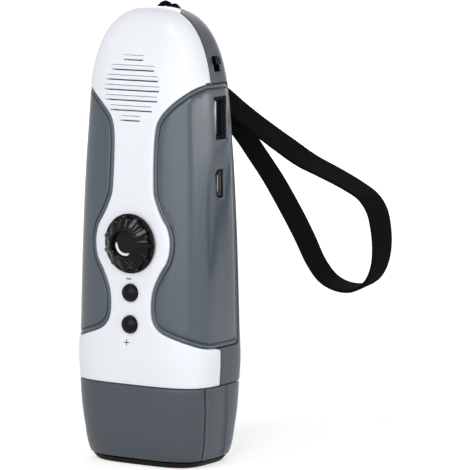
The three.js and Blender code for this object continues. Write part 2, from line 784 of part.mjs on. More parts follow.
function rearShell() {
  const saddle = everywhere(SADDLE_Y, BODY_DEPTH, saddleLow, saddleHigh);
  const saddleBand = everywhere(
    SADDLE_Y - SADDLE_WALL,
    BODY_DEPTH,
    saddleLow - SADDLE_RIM,
    saddleHigh + SADDLE_RIM,
  );
  const notch = block(
    [-NOTCH_HALF_WIDTH, NOTCH_FRONT_Y, NOTCH_FLOOR],
    [NOTCH_HALF_WIDTH, BODY_DEPTH, BODY_HEIGHT + WALL],
  );
  const notchWalls = block(
    [-NOTCH_HALF_WIDTH - NOTCH_WALL, NOTCH_FRONT_Y - NOTCH_WALL, NOTCH_FLOOR - NOTCH_WALL],
    [NOTCH_HALF_WIDTH + NOTCH_WALL, BODY_DEPTH, BODY_HEIGHT],
  );
  const lowBosses = lowScrews.map(([x, z]) => boss(plateBackY + GAP, BODY_DEPTH).translate(x, 0, z));
  const topBosses = topScrews.map(([x, z]) => boss(PARTING_Y, BODY_DEPTH).translate(x, 0, z));
  const inside = joined([...lowBosses, ...topBosses]).intersect(wallCentre).intersect(rearHalf);
  const headHole = rod(SCREW_HEAD_RADIUS + GAP, 0, BODY_DEPTH, ROUND_SEGMENTS, "y");
  const shankHole = rod(SCREW_RADIUS + GAP, 0, BODY_DEPTH, SMALL_SEGMENTS, "y");
  const bushingHole = rod(BUSHING_RADIUS + GAP, 0, BODY_DEPTH, ROUND_SEGMENTS, "y");
  const pinEndY = SADDLE_Y - COMPOUND_PIN_SINK;
  const pinHole = rod(COMPOUND_PIN_RADIUS + GAP, 0, pinEndY, SMALL_SEGMENTS, "y");
  const lugHalf = NOTCH_HALF_WIDTH + LUG_PIN_SEAT + GAP;
  const lugSeat = rod(LUG_PIN_RADIUS + GAP, -lugHalf, lugHalf, SMALL_SEGMENTS, "x");
  const holes = [
    ...lowScrews.map(([x, z]) => headHole.translate(x, lowSeatY, z)),
    ...topScrews.map(([x, z]) => headHole.translate(x, TOP_SCREW_SEAT_Y, z)),
    ...[...lowScrews, ...topScrews].map(([x, z]) => shankHole.translate(x, 0, z)),
    bushingHole.translate(0, 0, CRANK_Z),
    pinHole.translate(0, 0, compoundZ),
    lugSeat.translate(0, LUG_Y, LUG_Z),
  ];
  return bodySolid(0, HEAD_FOOT)
    .intersect(rearHalf)
    .subtract(core.subtract(saddleBand.add(notchWalls)))
    .add(inside)
    .subtract(recess)
    .subtract(joined([saddle, notch, ...holes, socketCuts(SOCKET_MARGIN), switchSlot()]));
}

// Grips
function gripPanel() {
  const skin = bodySolid(GRIP_SINK, HEAD_FOOT).subtract(bodyCore(gripInner, 0));
  const panel = skin.intersect(gripZone(GAP / 2));
  const grooveFloor = bodySolid(GRIP_SINK + GROOVE_DEPTH, 0);
  const groove = gripZone(RIM_WIDTH).subtract(gripZone(RIM_WIDTH + GROOVE_WIDTH));
  return panel.subtract(groove.subtract(grooveFloor));
}

// Lamp head with its collar, side channels and lens end
function lampHead() {
  const outer = bodySolid(0, HEAD_FOOT, HEAD_TOP);
  const bore = bodyCore(WALL, 0, HEAD_TOP - HEAD_PLATE);
  const collar = bodyCore(WALL + GAP, HEAD_TOP - HEAD_PLATE, collarTop);
  const collarBore = bodyCore(WALL + GAP + COLLAR_WALL, HEAD_TOP, collarTop + WALL);
  const wires = block(
    [-WIRE_HOLE_WIDTH / 2, -WIRE_HOLE_DEPTH / 2, 0],
    [WIRE_HOLE_WIDTH / 2, WIRE_HOLE_DEPTH / 2, BODY_HEIGHT],
  );
  const channelOutline = polygon([
    [CHANNEL_TOP_FRONT_Y, HEAD_TOP + WALL],
    [CHANNEL_FOOT_FRONT_Y, 0],
    [CHANNEL_FOOT_BACK_Y, 0],
    [CHANNEL_TOP_BACK_Y, HEAD_TOP + WALL],
  ]);
  const band = bodySolid(-WALL, 0, HEAD_TOP + WALL).subtract(
    bodySolid(CHANNEL_DEPTH, -WALL, HEAD_TOP + COLLAR_RISE),
  );
  const channel = band.intersect(prismX(channelOutline, 0, BODY_WIDTH));
  const cuts = joined([collarBore, wires, bothSides(channel)]);
  return outer.subtract(bore).add(collar).subtract(cuts);
}

function lensBezel() {
  const foot = bodySolid(BEZEL_SINK, 0, HEAD_FOOT - GAP);
  const spigotInset = WALL + GAP;
  const spigot = bodyCore(spigotInset, 0, BEZEL_SPIGOT_TOP);
  const boreInset = spigotInset + BEZEL_SPIGOT_WALL;
  const bore = bodyCore(boreInset, BEZEL_LIP_DEPTH, HEAD_TOP);
  const window = bodyCore(boreInset + BEZEL_LIP, -WALL, HEAD_TOP);
  return foot.add(spigot).subtract(bore).subtract(window);
}

const lensInset = WALL + GAP + BEZEL_SPIGOT_WALL + GAP;
const lensFoot = BEZEL_LIP_DEPTH + GAP;
const reflectorFoot = lensFoot + LENS_THICKNESS + GAP;
const reflectorTop = reflectorFoot + REFLECTOR_DEPTH;
const ledBoardFoot = reflectorTop + GAP;
const ledPlaces = Array.from({ length: LED_COUNT }, (_, index) => (index - (LED_COUNT - 1) / 2) * LED_PITCH);

function reflector() {
  const shape = bodyCore(lensInset, reflectorFoot, reflectorTop);
  const middle = (CUP_RADIUS * 2 + CUP_NECK_RADIUS) / 3;
  const cups = ledPlaces.map((x) =>
    turned(
      [
        [0, reflectorFoot - GAP],
        [CUP_RADIUS, reflectorFoot - GAP],
        [middle, reflectorFoot + REFLECTOR_DEPTH / 2],
        [CUP_NECK_RADIUS, reflectorTop + GAP],
        [0, reflectorTop + GAP],
      ],
      ROUND_SEGMENTS,
    ).translate(x, 0, 0),
  );
  return shape.subtract(joined(cups));
}

function led() {
  return turned(
    [
      [0, -LED_LENGTH],
      [LED_RADIUS * 0.55, -LED_LENGTH + LED_RADIUS * 0.16],
      [LED_RADIUS * 0.9, -LED_LENGTH + LED_RADIUS * 0.55],
      [LED_RADIUS, -LED_LENGTH + LED_RADIUS],
      [LED_RADIUS, -LED_FLANGE],
      [LED_FLANGE_RADIUS, -LED_FLANGE],
      [LED_FLANGE_RADIUS, 0],
      [0, 0],
    ],
    SMALL_SEGMENTS,
  );
}

// Tuning knob, its axis on Y, its base at y 0 and its face towards -Y
function knob() {
  const count = KNOB_FLUTES * 4;
  const fluted = (radius, y, depth) =>
    Array.from({ length: count }, (_, index) => {
      const angle = (index / count) * Math.PI * 2;
      const dip = depth * Math.abs(Math.sin((angle * KNOB_FLUTES) / 2));
      return [(radius - dip) * Math.cos(angle), y, (radius - dip) * Math.sin(angle)];
    });
  const face = -KNOB_FLANGE - KNOB_HEIGHT;
  const middleRadius = THREE.MathUtils.lerp(KNOB_FOOT_RADIUS, KNOB_TOP_RADIUS, KNOB_BULGE_SHARE);
  const cone = loft([
    fluted(KNOB_FOOT_RADIUS, -KNOB_FLANGE / 2, FLUTE_DEPTH),
    fluted(KNOB_FOOT_RADIUS, -KNOB_FLANGE, FLUTE_DEPTH),
    fluted(middleRadius, (face - KNOB_FLANGE) / 2, FLUTE_DEPTH),
    fluted(KNOB_TOP_RADIUS, face, FLUTE_DEPTH / 2),
  ]);
  const flange = rod(KNOB_RADIUS, -KNOB_FLANGE, 0, LARGE_SEGMENTS, "y");
  const dish = turned(
    [
      [0, face - GAP],
      [KNOB_DISC_RADIUS + GAP, face - GAP],
      [KNOB_DISC_RADIUS - KNOB_DISH, face + KNOB_DISH],
      [0, face + KNOB_DISH],
    ],
    ROUND_SEGMENTS,
    "y",
  );
  const bore = rod(SHAFT_RADIUS + GAP, -SHAFT_SEAT, BODY_DEPTH, ROUND_SEGMENTS, "y");
  return cone.add(flange).subtract(dish).subtract(bore);
}

const knobBaseY = -halfDepth(KNOB_Z - KNOB_RADIUS) - GAP;
const knobFaceY = knobBaseY - KNOB_FLANGE - KNOB_HEIGHT;
const capacitorBackY = boardFrontY - GAP;
const capacitorFrontY = capacitorBackY - CAPACITOR_DEPTH;

function tuningCapacitor() {
  const half = CAPACITOR_SIZE / 2;
  const box = block([-half, capacitorFrontY, -half], [half, capacitorBackY, half]);
  const neckFrontY = capacitorFrontY - CAPACITOR_NECK;
  const neck = rod(CAPACITOR_NECK_RADIUS, neckFrontY, capacitorBackY, ROUND_SEGMENTS, "y");
  const bore = rod(
    SHAFT_RADIUS + GAP,
    -BODY_DEPTH,
    capacitorFrontY + SHAFT_BURY,
    ROUND_SEGMENTS,
    "y",
  );
  return box.add(neck).subtract(bore);
}

function tuningShaft() {
  const tip = capacitorFrontY + SHAFT_BURY - GAP - knobBaseY;
  return rod(SHAFT_RADIUS, -SHAFT_SEAT + GAP, tip, ROUND_SEGMENTS, "y");
}

// Push button for the height z, its axis on Y
const tactBackY = boardFrontY - GAP;
const tactTipY = tactBackY - TACT_DEPTH - TACT_STEM;

function pushButton(z) {
  const face = -halfDepth(z) - BUTTON_RISE;
  const wallInner = -halfDepth(z, recessCore) + GAP;
  return turned(
    [
      [0, face],
      [BUTTON_RADIUS * 0.6, face + BUTTON_CROWN * 0.2],
      [BUTTON_RADIUS * 0.9, face + BUTTON_CROWN * 0.6],
      [BUTTON_RADIUS, face + BUTTON_CROWN * 1.2],
      [BUTTON_RADIUS, wallInner],
      [BUTTON_FLANGE_RADIUS, wallInner],
      [BUTTON_FLANGE_RADIUS, wallInner + BUTTON_FLANGE],
      [BUTTON_STEM_RADIUS, wallInner + BUTTON_FLANGE],
      [BUTTON_STEM_RADIUS, tactTipY - BUTTON_CLEARANCE],
      [0, tactTipY - BUTTON_CLEARANCE],
    ],
    ROUND_SEGMENTS,
    "y",
  );
}

function tactSwitch() {
  const half = TACT_SIZE / 2;
  const body = block([-half, tactBackY - TACT_DEPTH, -half], [half, tactBackY, half]);
  return body.add(rod(TACT_STEM_RADIUS, tactTipY, tactBackY, SMALL_SEGMENTS, "y"));
}

// Main board with a tab up to the slide switch and a bay for the micro socket
function mainBoard() {
  const outline = polygon([
    [-boardHalfWidth, BOARD_FOOT],
    [boardHalfWidth, BOARD_FOOT],
    [boardHalfWidth, BOARD_TOP - BOARD_STEP],
    [boardTopHalfWidth, BOARD_TOP - BOARD_STEP],
    [boardTopHalfWidth, BOARD_TOP],
    [boardTabRight, BOARD_TOP + WALL],
    [boardTabRight, BOARD_TAB_TOP],
    [BOARD_TAB_LEFT, BOARD_TAB_TOP],
    [BOARD_TAB_LEFT, BOARD_TOP],
    [-boardTopHalfWidth, BOARD_TOP],
    [-boardTopHalfWidth, BOARD_TOP - BOARD_STEP],
    [-boardHalfWidth, BOARD_TOP - BOARD_STEP],
  ]);
  const board = prismY(outline, boardFrontY, BOARD_BACK_Y);
  const holes = lowScrews.map(([x, z]) =>
    rod(SCREW_RADIUS + GAP, -BODY_DEPTH, BODY_DEPTH, SMALL_SEGMENTS, "y").translate(x, 0, z),
  );
  const bay = block(
    [microMouthX - MICRO_DEPTH - GAP, -BODY_DEPTH, MICRO_Z - MICRO_LENGTH / 2 - GAP],
    [BODY_WIDTH, BODY_DEPTH, MICRO_Z + MICRO_LENGTH / 2 + GAP],
  );
  return board.subtract(joined([...holes, bay]));
}

function batteryCell() {
  const shape = roundedRectangle(cellLeft, CELL_RIGHT, CELL_FOOT, CELL_FOOT + CELL_HEIGHT, CELL_CORNER);
  return prismY(shape, plateFrontY, plateFrontY + CELL_THICKNESS, 2);
}

// USB-A socket: a folded steel shell round a block with the contact tongue
function usbShell() {
  const back = USB_MOUTH_X - USB_DEPTH;
  const outer = block(
    [back, USB_Y - USB_THICKNESS / 2, USB_Z - USB_LENGTH / 2],
    [USB_MOUTH_X, USB_Y + USB_THICKNESS / 2, USB_Z + USB_LENGTH / 2],
  );
  const inner = block(
    [back - GAP, USB_Y - USB_THICKNESS / 2 + USB_SHEET, USB_Z - USB_LENGTH / 2 + USB_SHEET],
    [USB_MOUTH_X + GAP, USB_Y + USB_THICKNESS / 2 - USB_SHEET, USB_Z + USB_LENGTH / 2 - USB_SHEET],
  );
  return outer.subtract(inner);
}

function usbTongue() {
  const back = USB_MOUTH_X - USB_DEPTH;
  const clear = USB_SHEET + GAP;
  const base = block(
    [back, USB_Y - USB_THICKNESS / 2 + clear, USB_Z - USB_LENGTH / 2 + clear],
    [back + USB_BLOCK_DEPTH, USB_Y + USB_THICKNESS / 2 - clear, USB_Z + USB_LENGTH / 2 - clear],
  );
  const middle = USB_Y + USB_TONGUE_OFFSET;
  const tongue = block(
    [back, middle - USB_TONGUE_THICKNESS / 2, USB_Z - USB_TONGUE_LENGTH / 2],
    [USB_MOUTH_X - USB_TONGUE_SET_BACK, middle + USB_TONGUE_THICKNESS / 2, USB_Z + USB_TONGUE_LENGTH / 2],
  );
  return base.add(tongue);
}

function microShell() {
  const back = microMouthX - MICRO_DEPTH;
  const outer = prismX(microOutline(0), back, microMouthX);
  return outer.subtract(prismX(microOutline(-MICRO_SHEET), back - GAP, microMouthX + GAP));
}

function microTongue() {
  const back = microMouthX - MICRO_DEPTH;
  const clear = MICRO_SHEET + GAP;
  const base = prismX(microOutline(-clear), back, back + MICRO_BLOCK_DEPTH);
  const tongue = block(
    [back, MICRO_Y - MICRO_TONGUE_THICKNESS / 2, MICRO_Z - MICRO_TONGUE_LENGTH / 2],
    [
      microMouthX - MICRO_TONGUE_SET_BACK,
      MICRO_Y + MICRO_TONGUE_THICKNESS / 2,
      MICRO_Z + MICRO_TONGUE_LENGTH / 2,
    ],
  );
  return base.add(tongue);
}

// Slide switch: a slot in the wall, a body on the board's tab and a knob that slides up and down
function switchSlot() {
  const half = SWITCH_SLOT_HEIGHT / 2;
  return block(
    [switchBodyX - WALL, SWITCH_Y - SWITCH_SLOT_WIDTH / 2, SWITCH_Z - half],
    [BODY_WIDTH, SWITCH_Y + SWITCH_SLOT_WIDTH / 2, SWITCH_Z + half],
  );
}

function switchBody() {
  const half = SWITCH_BODY_HEIGHT / 2;
  const nubHalf = SWITCH_NUB_WIDTH / 2 + GAP;
  const pocketHalf = SWITCH_SLOT_HEIGHT / 2 + GAP;
  const backY = BOARD_BACK_Y + GAP;
  const box = block(
    [switchBodyX - SWITCH_BODY_DEPTH, backY, SWITCH_Z - half],
    [switchBodyX, backY + SWITCH_BODY_WIDTH, SWITCH_Z + half],
  );
  const pocket = block(
    [switchBodyX - SWITCH_POCKET, SWITCH_Y - nubHalf, SWITCH_Z - pocketHalf],
    [BODY_WIDTH, SWITCH_Y + nubHalf, SWITCH_Z + pocketHalf],
  );
  return box.subtract(pocket);
}

// The knob rests at the top of its slot, its face along the wall
function switchKnob() {
  const high = SWITCH_Z + SWITCH_SLOT_HEIGHT / 2 - GAP;
  const low = high - SWITCH_NUB_HEIGHT;
  const inner = switchBodyX - SWITCH_POCKET + GAP;
  const outline = new THREE.Shape();
  outline.moveTo(inner, low);
  outline.lineTo(reachX(SWITCH_Y, low) + SWITCH_NUB_RISE, low);
  outline.lineTo(reachX(SWITCH_Y, high) + SWITCH_NUB_RISE, high);
  outline.lineTo(inner, high);
  return prismY(outline, SWITCH_Y - SWITCH_NUB_WIDTH / 2, SWITCH_Y + SWITCH_NUB_WIDTH / 2);
}

// Speaker, its axis on Y
function speakerBasket() {
  const front = SPEAKER_FRONT_Y;
  const back = front + SPEAKER_DEPTH;
  return turned(
    [
      [SPEAKER_RADIUS - SPEAKER_RIM, front],
      [SPEAKER_RADIUS, front],
      [SPEAKER_RADIUS, front + SPEAKER_RIM_DEPTH],
      [SPEAKER_BACK_RADIUS, back],
      [CONE_NECK_RADIUS + GAP, back],
      [CONE_NECK_RADIUS + GAP, back - SPEAKER_WALL],
      [SPEAKER_BACK_RADIUS - SPEAKER_WALL, back - SPEAKER_WALL],
      [SPEAKER_RADIUS - SPEAKER_RIM, front + SPEAKER_RIM_DEPTH - SPEAKER_WALL / 2],
      [SPEAKER_RADIUS - SPEAKER_RIM, front],
    ],
    LARGE_SEGMENTS,
    "y",
  );
}

function speakerCone() {
  const rim = SPEAKER_RADIUS - SPEAKER_RIM - GAP;
  const front = SPEAKER_FRONT_Y;
  return turned(
    [
      [0, front + CONE_DEPTH - CONE_SHEET],
      [CONE_NECK_RADIUS, front + CONE_DEPTH - CONE_SHEET],
      [rim, front],
      [rim, front + CONE_SHEET],
      [CONE_NECK_RADIUS, front + CONE_DEPTH],
      [0, front + CONE_DEPTH],
    ],
    LARGE_SEGMENTS,
    "y",
  );
}

function speakerMagnet() {
  const front = SPEAKER_FRONT_Y + SPEAKER_DEPTH + GAP;
  return rod(MAGNET_RADIUS, front, boardFrontY - GAP, LARGE_SEGMENTS, "y");
}

// Half the angle of a tooth at a radius, by the involute of its pitch circle, less the backlash
function toothHalfAngle(teeth, module, radius) {
  const pitch = (teeth * module) / 2;
  const pressure = THREE.MathUtils.degToRad(PRESSURE_ANGLE);
  const base = pitch * Math.cos(pressure);
  const reached = Math.acos(Math.min(1, base / radius));
  const involute = (angle) => Math.tan(angle) - angle;
  return Math.PI / (2 * teeth) - GEAR_BACKLASH / pitch + involute(pressure) - involute(reached);
}

// A gear's outline, each tooth with straight flanks from root to tip, one tooth centred at the turn
function gearShape(teeth, module, turn) {
  const pitch = (teeth * module) / 2;
  const radii = [pitch - module * DEDENDUM_SHARE, pitch + module * ADDENDUM_SHARE];
  const points = Array.from({ length: teeth }, (_, tooth) => {
    const middle = turn + (tooth / teeth) * Math.PI * 2;
    const [root, tip] = radii.map((radius) => [radius, toothHalfAngle(teeth, module, radius)]);
    const corners = [[root, -1], [tip, -1], [tip, 1], [root, 1]];
    return corners.map(([[radius, half], side]) => [
      radius * Math.cos(middle + side * half),
      radius * Math.sin(middle + side * half),
    ]);
  });
  return polygon(points.flat());
}

// Each gear has a tooth straight up, and each pinion a gap straight down, so they mesh at rest
const toothUp = Math.PI / 2;
const gapDown = -Math.PI / 2 + Math.PI / PINION_TEETH;
const driveFrontY = DRIVE_BACK_Y - DRIVE_FACE;
const wheelFrontY = WHEEL_BACK_Y - WHEEL_FACE;

function driveGear() {
  const gear = prismY(gearShape(DRIVE_TEETH, DRIVE_MODULE, toothUp), driveFrontY, DRIVE_BACK_Y);
  const hub = rod(DRIVE_HUB_RADIUS, driveFrontY - DRIVE_HUB, DRIVE_BACK_Y, ROUND_SEGMENTS, "y");
  const bore = rod(CRANK_SHAFT_RADIUS + GAP, 0, BODY_DEPTH, ROUND_SEGMENTS, "y");
  const windows = Array.from({ length: DRIVE_WINDOWS }, (_, index) => {
    const angle = (index / DRIVE_WINDOWS) * Math.PI * 2;
    return rod(DRIVE_WINDOW_RADIUS, 0, BODY_DEPTH, SMALL_SEGMENTS, "y").translate(
      DRIVE_WINDOW_PLACE * Math.cos(angle),
      0,
      DRIVE_WINDOW_PLACE * Math.sin(angle),
    );
  });
  return gear.add(hub).subtract(joined([bore, ...windows]));
}

function compoundGear() {
  const pinion = prismY(gearShape(PINION_TEETH, DRIVE_MODULE, gapDown), wheelFrontY, DRIVE_BACK_Y);
  const wheel = prismY(gearShape(WHEEL_TEETH, WHEEL_MODULE, toothUp), wheelFrontY, WHEEL_BACK_Y);
  const bore = rod(COMPOUND_PIN_RADIUS + GAP, 0, BODY_DEPTH, SMALL_SEGMENTS, "y");
  return pinion.add(wheel).subtract(bore);
}

const generatorBackY = GENERATOR_FRONT_Y + GENERATOR_DEPTH;

function compoundPin() {
  const end = SADDLE_Y - COMPOUND_PIN_SINK - GAP;
  return rod(COMPOUND_PIN_RADIUS, plateBackY + GAP, end, SMALL_SEGMENTS, "y");
}

function generatorPinion() {
  const pinion = prismY(gearShape(PINION_TEETH, WHEEL_MODULE, gapDown), wheelFrontY, WHEEL_BACK_Y);
  const shaft = rod(ROTOR_SHAFT_RADIUS, generatorBackY - ROTOR_BURY, WHEEL_BACK_Y, SMALL_SEGMENTS, "y");
  return pinion.add(shaft);
}

function generatorCan() {
  const can = turned(
    [
      [0, GENERATOR_FRONT_Y],
      [GENERATOR_RADIUS, GENERATOR_FRONT_Y],
      [GENERATOR_RADIUS, generatorBackY - GENERATOR_STEP],
      [GENERATOR_STEP_RADIUS, generatorBackY],
      [0, generatorBackY],
    ],
    LARGE_SEGMENTS,
    "y",
  );
  const bore = rod(
    ROTOR_SHAFT_RADIUS + GAP,
    generatorBackY - ROTOR_BURY - GAP,
    BODY_DEPTH,
    SMALL_SEGMENTS,
    "y",
  );
  return can.subtract(bore);
}

// Gearbox plate: a strip up the middle with an ear at each of the four lower case screws
function gearboxPlate() {
  const strip = block(
    [-PLATE_HALF_WIDTH, plateFrontY, LOW_SCREW_Z],
    [PLATE_HALF_WIDTH, plateBackY, PLATE_TOP],
  );
  const ears = [LOW_SCREW_Z, MIDDLE_SCREW_Z].map((z) => {
    const reach = EAR_RADIUS + (z === LOW_SCREW_Z ? LOW_SCREW_X : MIDDLE_SCREW_X);
    const shape = roundedRectangle(-reach, reach, z - EAR_RADIUS, z + EAR_RADIUS, EAR_CORNER);
    return prismY(shape, plateFrontY, plateBackY, 2);
  });
  const screwHole = rod(SCREW_RADIUS + GAP, -BODY_DEPTH, BODY_DEPTH, SMALL_SEGMENTS, "y");
  const shaftHole = rod(CRANK_SHAFT_RADIUS + GAP, -BODY_DEPTH, BODY_DEPTH, ROUND_SEGMENTS, "y");
  const holes = lowScrews.map(([x, z]) => screwHole.translate(x, 0, z));
  return strip.add(joined(ears)).subtract(joined([...holes, shaftHole.translate(0, 0, CRANK_Z)]));
}

// Crank, with its axis on Y through the origin of its group
function crankArm() {
  const half = ARM_WIDTH / 2;
  const outline = new THREE.Shape();
  outline.absarc(0, 0, ARM_HUB_RADIUS, Math.PI - Math.PI / 6, Math.PI * 2 + Math.PI / 6);
  outline.lineTo(half, crankReach - ARM_CORNER);
  outline.absarc(half - ARM_CORNER, crankReach - ARM_CORNER, ARM_CORNER, 0, Math.PI / 2);
  outline.lineTo(-half + ARM_CORNER, crankReach);
  outline.absarc(-half + ARM_CORNER, crankReach - ARM_CORNER, ARM_CORNER, Math.PI / 2, Math.PI);
  let arm = prismY(outline, armBackY, armFrontY, 8);
  const lowFace = armBackY + ARM_HUB_THICKNESS;
  const slope = polygon([
    [lowFace, -BODY_WIDTH],
    [armFrontY + GAP, -BODY_WIDTH],
    [armFrontY + GAP, ARM_SLOT_START + ARM_SLOPE],
    [armFrontY, ARM_SLOT_START + ARM_SLOPE],
    [lowFace, ARM_SLOT_START - ARM_SLOPE],
  ]);
  arm = arm.subtract(prismX(slope, -BODY_WIDTH, BODY_WIDTH));
  const slot = block(
    [-ARM_SLOT / 2, 0, ARM_SLOT_START],
    [ARM_SLOT / 2, BODY_DEPTH, crankReach + ARM_CORNER],
  );
  const shaftSeat = rod(CRANK_SHAFT_RADIUS + GAP, 0, armBackY + CRANK_SHAFT_SEAT + GAP, ROUND_SEGMENTS, "y");
  const screwHole = rod(CRANK_SCREW_RADIUS + GAP, 0, BODY_DEPTH, SMALL_SEGMENTS, "y");
  const pinHole = rod(FOLD_PIN_RADIUS + GAP, -half - GAP, half + GAP, SMALL_SEGMENTS, "x").translate(
    0,
    armBackY + ARM_THICKNESS / 2,
    CRANK_RADIUS,
  );
  return arm.subtract(joined([slot, shaftSeat, screwHole, pinHole]));
}

function crankShaft() {
  const tip = armBackY + CRANK_SHAFT_SEAT;
  const shaft = rod(CRANK_SHAFT_RADIUS, CRANK_SHAFT_INNER_Y, tip, ROUND_SEGMENTS, "y");
  const thread = rod(CRANK_SCREW_RADIUS + GAP, tip - CRANK_SCREW_LENGTH, tip + GAP, SMALL_SEGMENTS, "y");
  return shaft.subtract(thread);
}

function crankScrew() {
  const seat = armBackY + ARM_HUB_THICKNESS + GAP;
  return turned(
    [
      [0, seat - CRANK_SCREW_LENGTH],
      [CRANK_SCREW_RADIUS, seat - CRANK_SCREW_LENGTH],
      [CRANK_SCREW_RADIUS, seat],
      [CRANK_SCREW_HEAD_RADIUS, seat],
      [CRANK_SCREW_HEAD_RADIUS * 0.94, seat + CRANK_SCREW_HEAD * 0.5],
      [CRANK_SCREW_HEAD_RADIUS * 0.6, seat + CRANK_SCREW_HEAD],
      [0, seat + CRANK_SCREW_HEAD],
    ],
    ROUND_SEGMENTS,
    "y",
  );
}

function crankBushing() {
  const inner = SADDLE_Y - SADDLE_WALL;
  return turned(
    [
      [CRANK_SHAFT_RADIUS + GAP, inner - GAP - BUSHING_FLANGE / 2],
      [BUSHING_FLANGE_RADIUS, inner - GAP - BUSHING_FLANGE / 2],
      [BUSHING_FLANGE_RADIUS, inner - GAP],
      [BUSHING_RADIUS, inner - GAP],
      [BUSHING_RADIUS, SADDLE_Y],
      [CRANK_SHAFT_RADIUS + GAP, SADDLE_Y],
      [CRANK_SHAFT_RADIUS + GAP, inner - GAP - BUSHING_FLANGE / 2],
    ],
    ROUND_SEGMENTS,
    "y",
  );
}

// Folding knob, with the fold pin's axis on X through its origin, the rod hanging down from it
function foldPin() {
  const half = ARM_WIDTH / 2;
  return rod(FOLD_PIN_RADIUS, -half, half, SMALL_SEGMENTS, "x");
}

const rodHeadTop = -FOLD_EYE_RADIUS - GAP * 2 - SLEEVE_LENGTH;

function knobAxle() {
  const half = FOLD_EYE_WIDTH / 2;
  const eye = rod(FOLD_EYE_RADIUS, -half, half, ROUND_SEGMENTS, "x");
  const shank = turned(
    [
      [0, rodHeadTop - ROD_HEAD],
      [ROD_HEAD_RADIUS, rodHeadTop - ROD_HEAD],
      [ROD_HEAD_RADIUS, rodHeadTop],
      [GRIP_ROD_RADIUS, rodHeadTop],
      [GRIP_ROD_RADIUS, 0],
      [0, 0],
    ],
    ROUND_SEGMENTS,
  );
  const hole = rod(FOLD_PIN_RADIUS + GAP, -half - GAP, half + GAP, SMALL_SEGMENTS, "x");
  return eye.add(shank).subtract(hole);
}

function knobSleeve() {
  const top = -FOLD_EYE_RADIUS - GAP;
  const low = top - SLEEVE_LENGTH;
  const at = (share) => low + SLEEVE_LENGTH * share;
  return turned(
    [
      [GRIP_ROD_RADIUS + GAP, low],
      [SLEEVE_RADIUS * 0.9, low],
      [SLEEVE_RADIUS, at(0.06)],
      [SLEEVE_RADIUS, at(0.2)],
      [SLEEVE_WAIST, at(0.5)],
      [SLEEVE_RADIUS, at(0.8)],
      [SLEEVE_RADIUS, at(0.94)],
      [SLEEVE_RADIUS * 0.9, top],
      [GRIP_ROD_RADIUS + GAP, top],
      [GRIP_ROD_RADIUS + GAP, low],
    ],
    ROUND_SEGMENTS,
  );
}

// Case screw along Y with its head towards +Y, seated at y 0
function caseScrew(length) {
  return turned(
    [
      [0, -length],
      [SCREW_RADIUS, -length + SCREW_RADIUS],
      [SCREW_RADIUS, 0],
      [SCREW_HEAD_RADIUS, 0],
      [SCREW_HEAD_RADIUS, SCREW_HEAD],
      [0, SCREW_HEAD],
    ],
    SMALL_SEGMENTS,
    "y",
  );
}

function lanyardPin() {
  const half = NOTCH_HALF_WIDTH + LUG_PIN_SEAT;
  return rod(LUG_PIN_RADIUS, -half, half, SMALL_SEGMENTS, "x");
}

// Lanyard cord: a cow hitch round the pin, its two ends side by side in the crimp.
// Its heights, as the strap's, are from the body's top.
const CORD_HALF_ROUTE = [
  [-1.2, 21, -18.1],
  [-1.3, 20.7, -16.2],
  [-1.6, 18.4, -12],
  [-1.8, 15.2, -7.8],
  [-1.9, 12.4, -4],
  [-2, 10, -0.8],
  [-2.2, 7, 0.6],
  [-2.6, 4.4, -0.4],
  [-3.1, 3.1, -2.8],
  [-3.7, 3.4, -5.4],
  [-4.2, 5.8, -7.3],
  [-4.5, 9, -8.1],
  [-4.7, 12.8, -8.6],
  [-4.4, 16.4, -9.4],
  [-3, 19.4, -10.2],
  [0, 20.6, -10.5],
];

function lanyardCord() {
  const back = CORD_HALF_ROUTE.slice(0, -1).reverse().map(([x, y, z]) => [-x, y, z]);
  const route = [...CORD_HALF_ROUTE, ...back].map((point) => new THREE.Vector3(...point));
  const section = new THREE.Shape();
  section.absarc(0, 0, CORD_DIAMETER / 2, 0, Math.PI * 2);
  const geometry = new THREE.ExtrudeGeometry(section, {
    steps: CORD_STEPS,
    curveSegments: CORD_SIDES / 2,
    extrudePath: new THREE.CatmullRomCurve3(route),
  });
  return geometryFrom(solidFrom(geometry));
}

// Wrist strap: one length of flat webbing, its width along Y, both ends up in the crimp
const STRAP_ROUTE = [
  [0.9, 21, -20],
  [0.9, 21, -22.2],
  [1, 21, -24],
  [3, 21, -25.8],
  [8.4, 21, -27],
  [15.6, 21, -31.4],
  [22.2, 21, -35.4],
  [28.8, 21, -39.4],
  [35, 21, -43.5],
  [44, 21, -49.3],
  [53, 21, -53],
  [62, 21, -57.2],
  [67.5, 21, -60.4],
  [70.8, 21, -64.6],
  [72.3, 21, -70],
  [72.8, 21, -76.5],
  [71.9, 21, -82.5],
  [69.2, 21, -87.4],
  [64.6, 21, -90.2],
  [58.6, 21, -90.3],
  [52.8, 21, -88.1],
  [48, 21, -83],
  [43.2, 21, -75],
  [38.2, 21, -67],
  [31, 21, -56.6],
  [25, 21, -49.2],
  [19.4, 21, -42.6],
  [11, 21, -34.6],
  [3.4, 21, -29.4],
  [0, 21, -26.6],
  [-0.9, 21, -24.2],
  [-0.9, 21, -22.2],
  [-0.9, 21, -20],
];

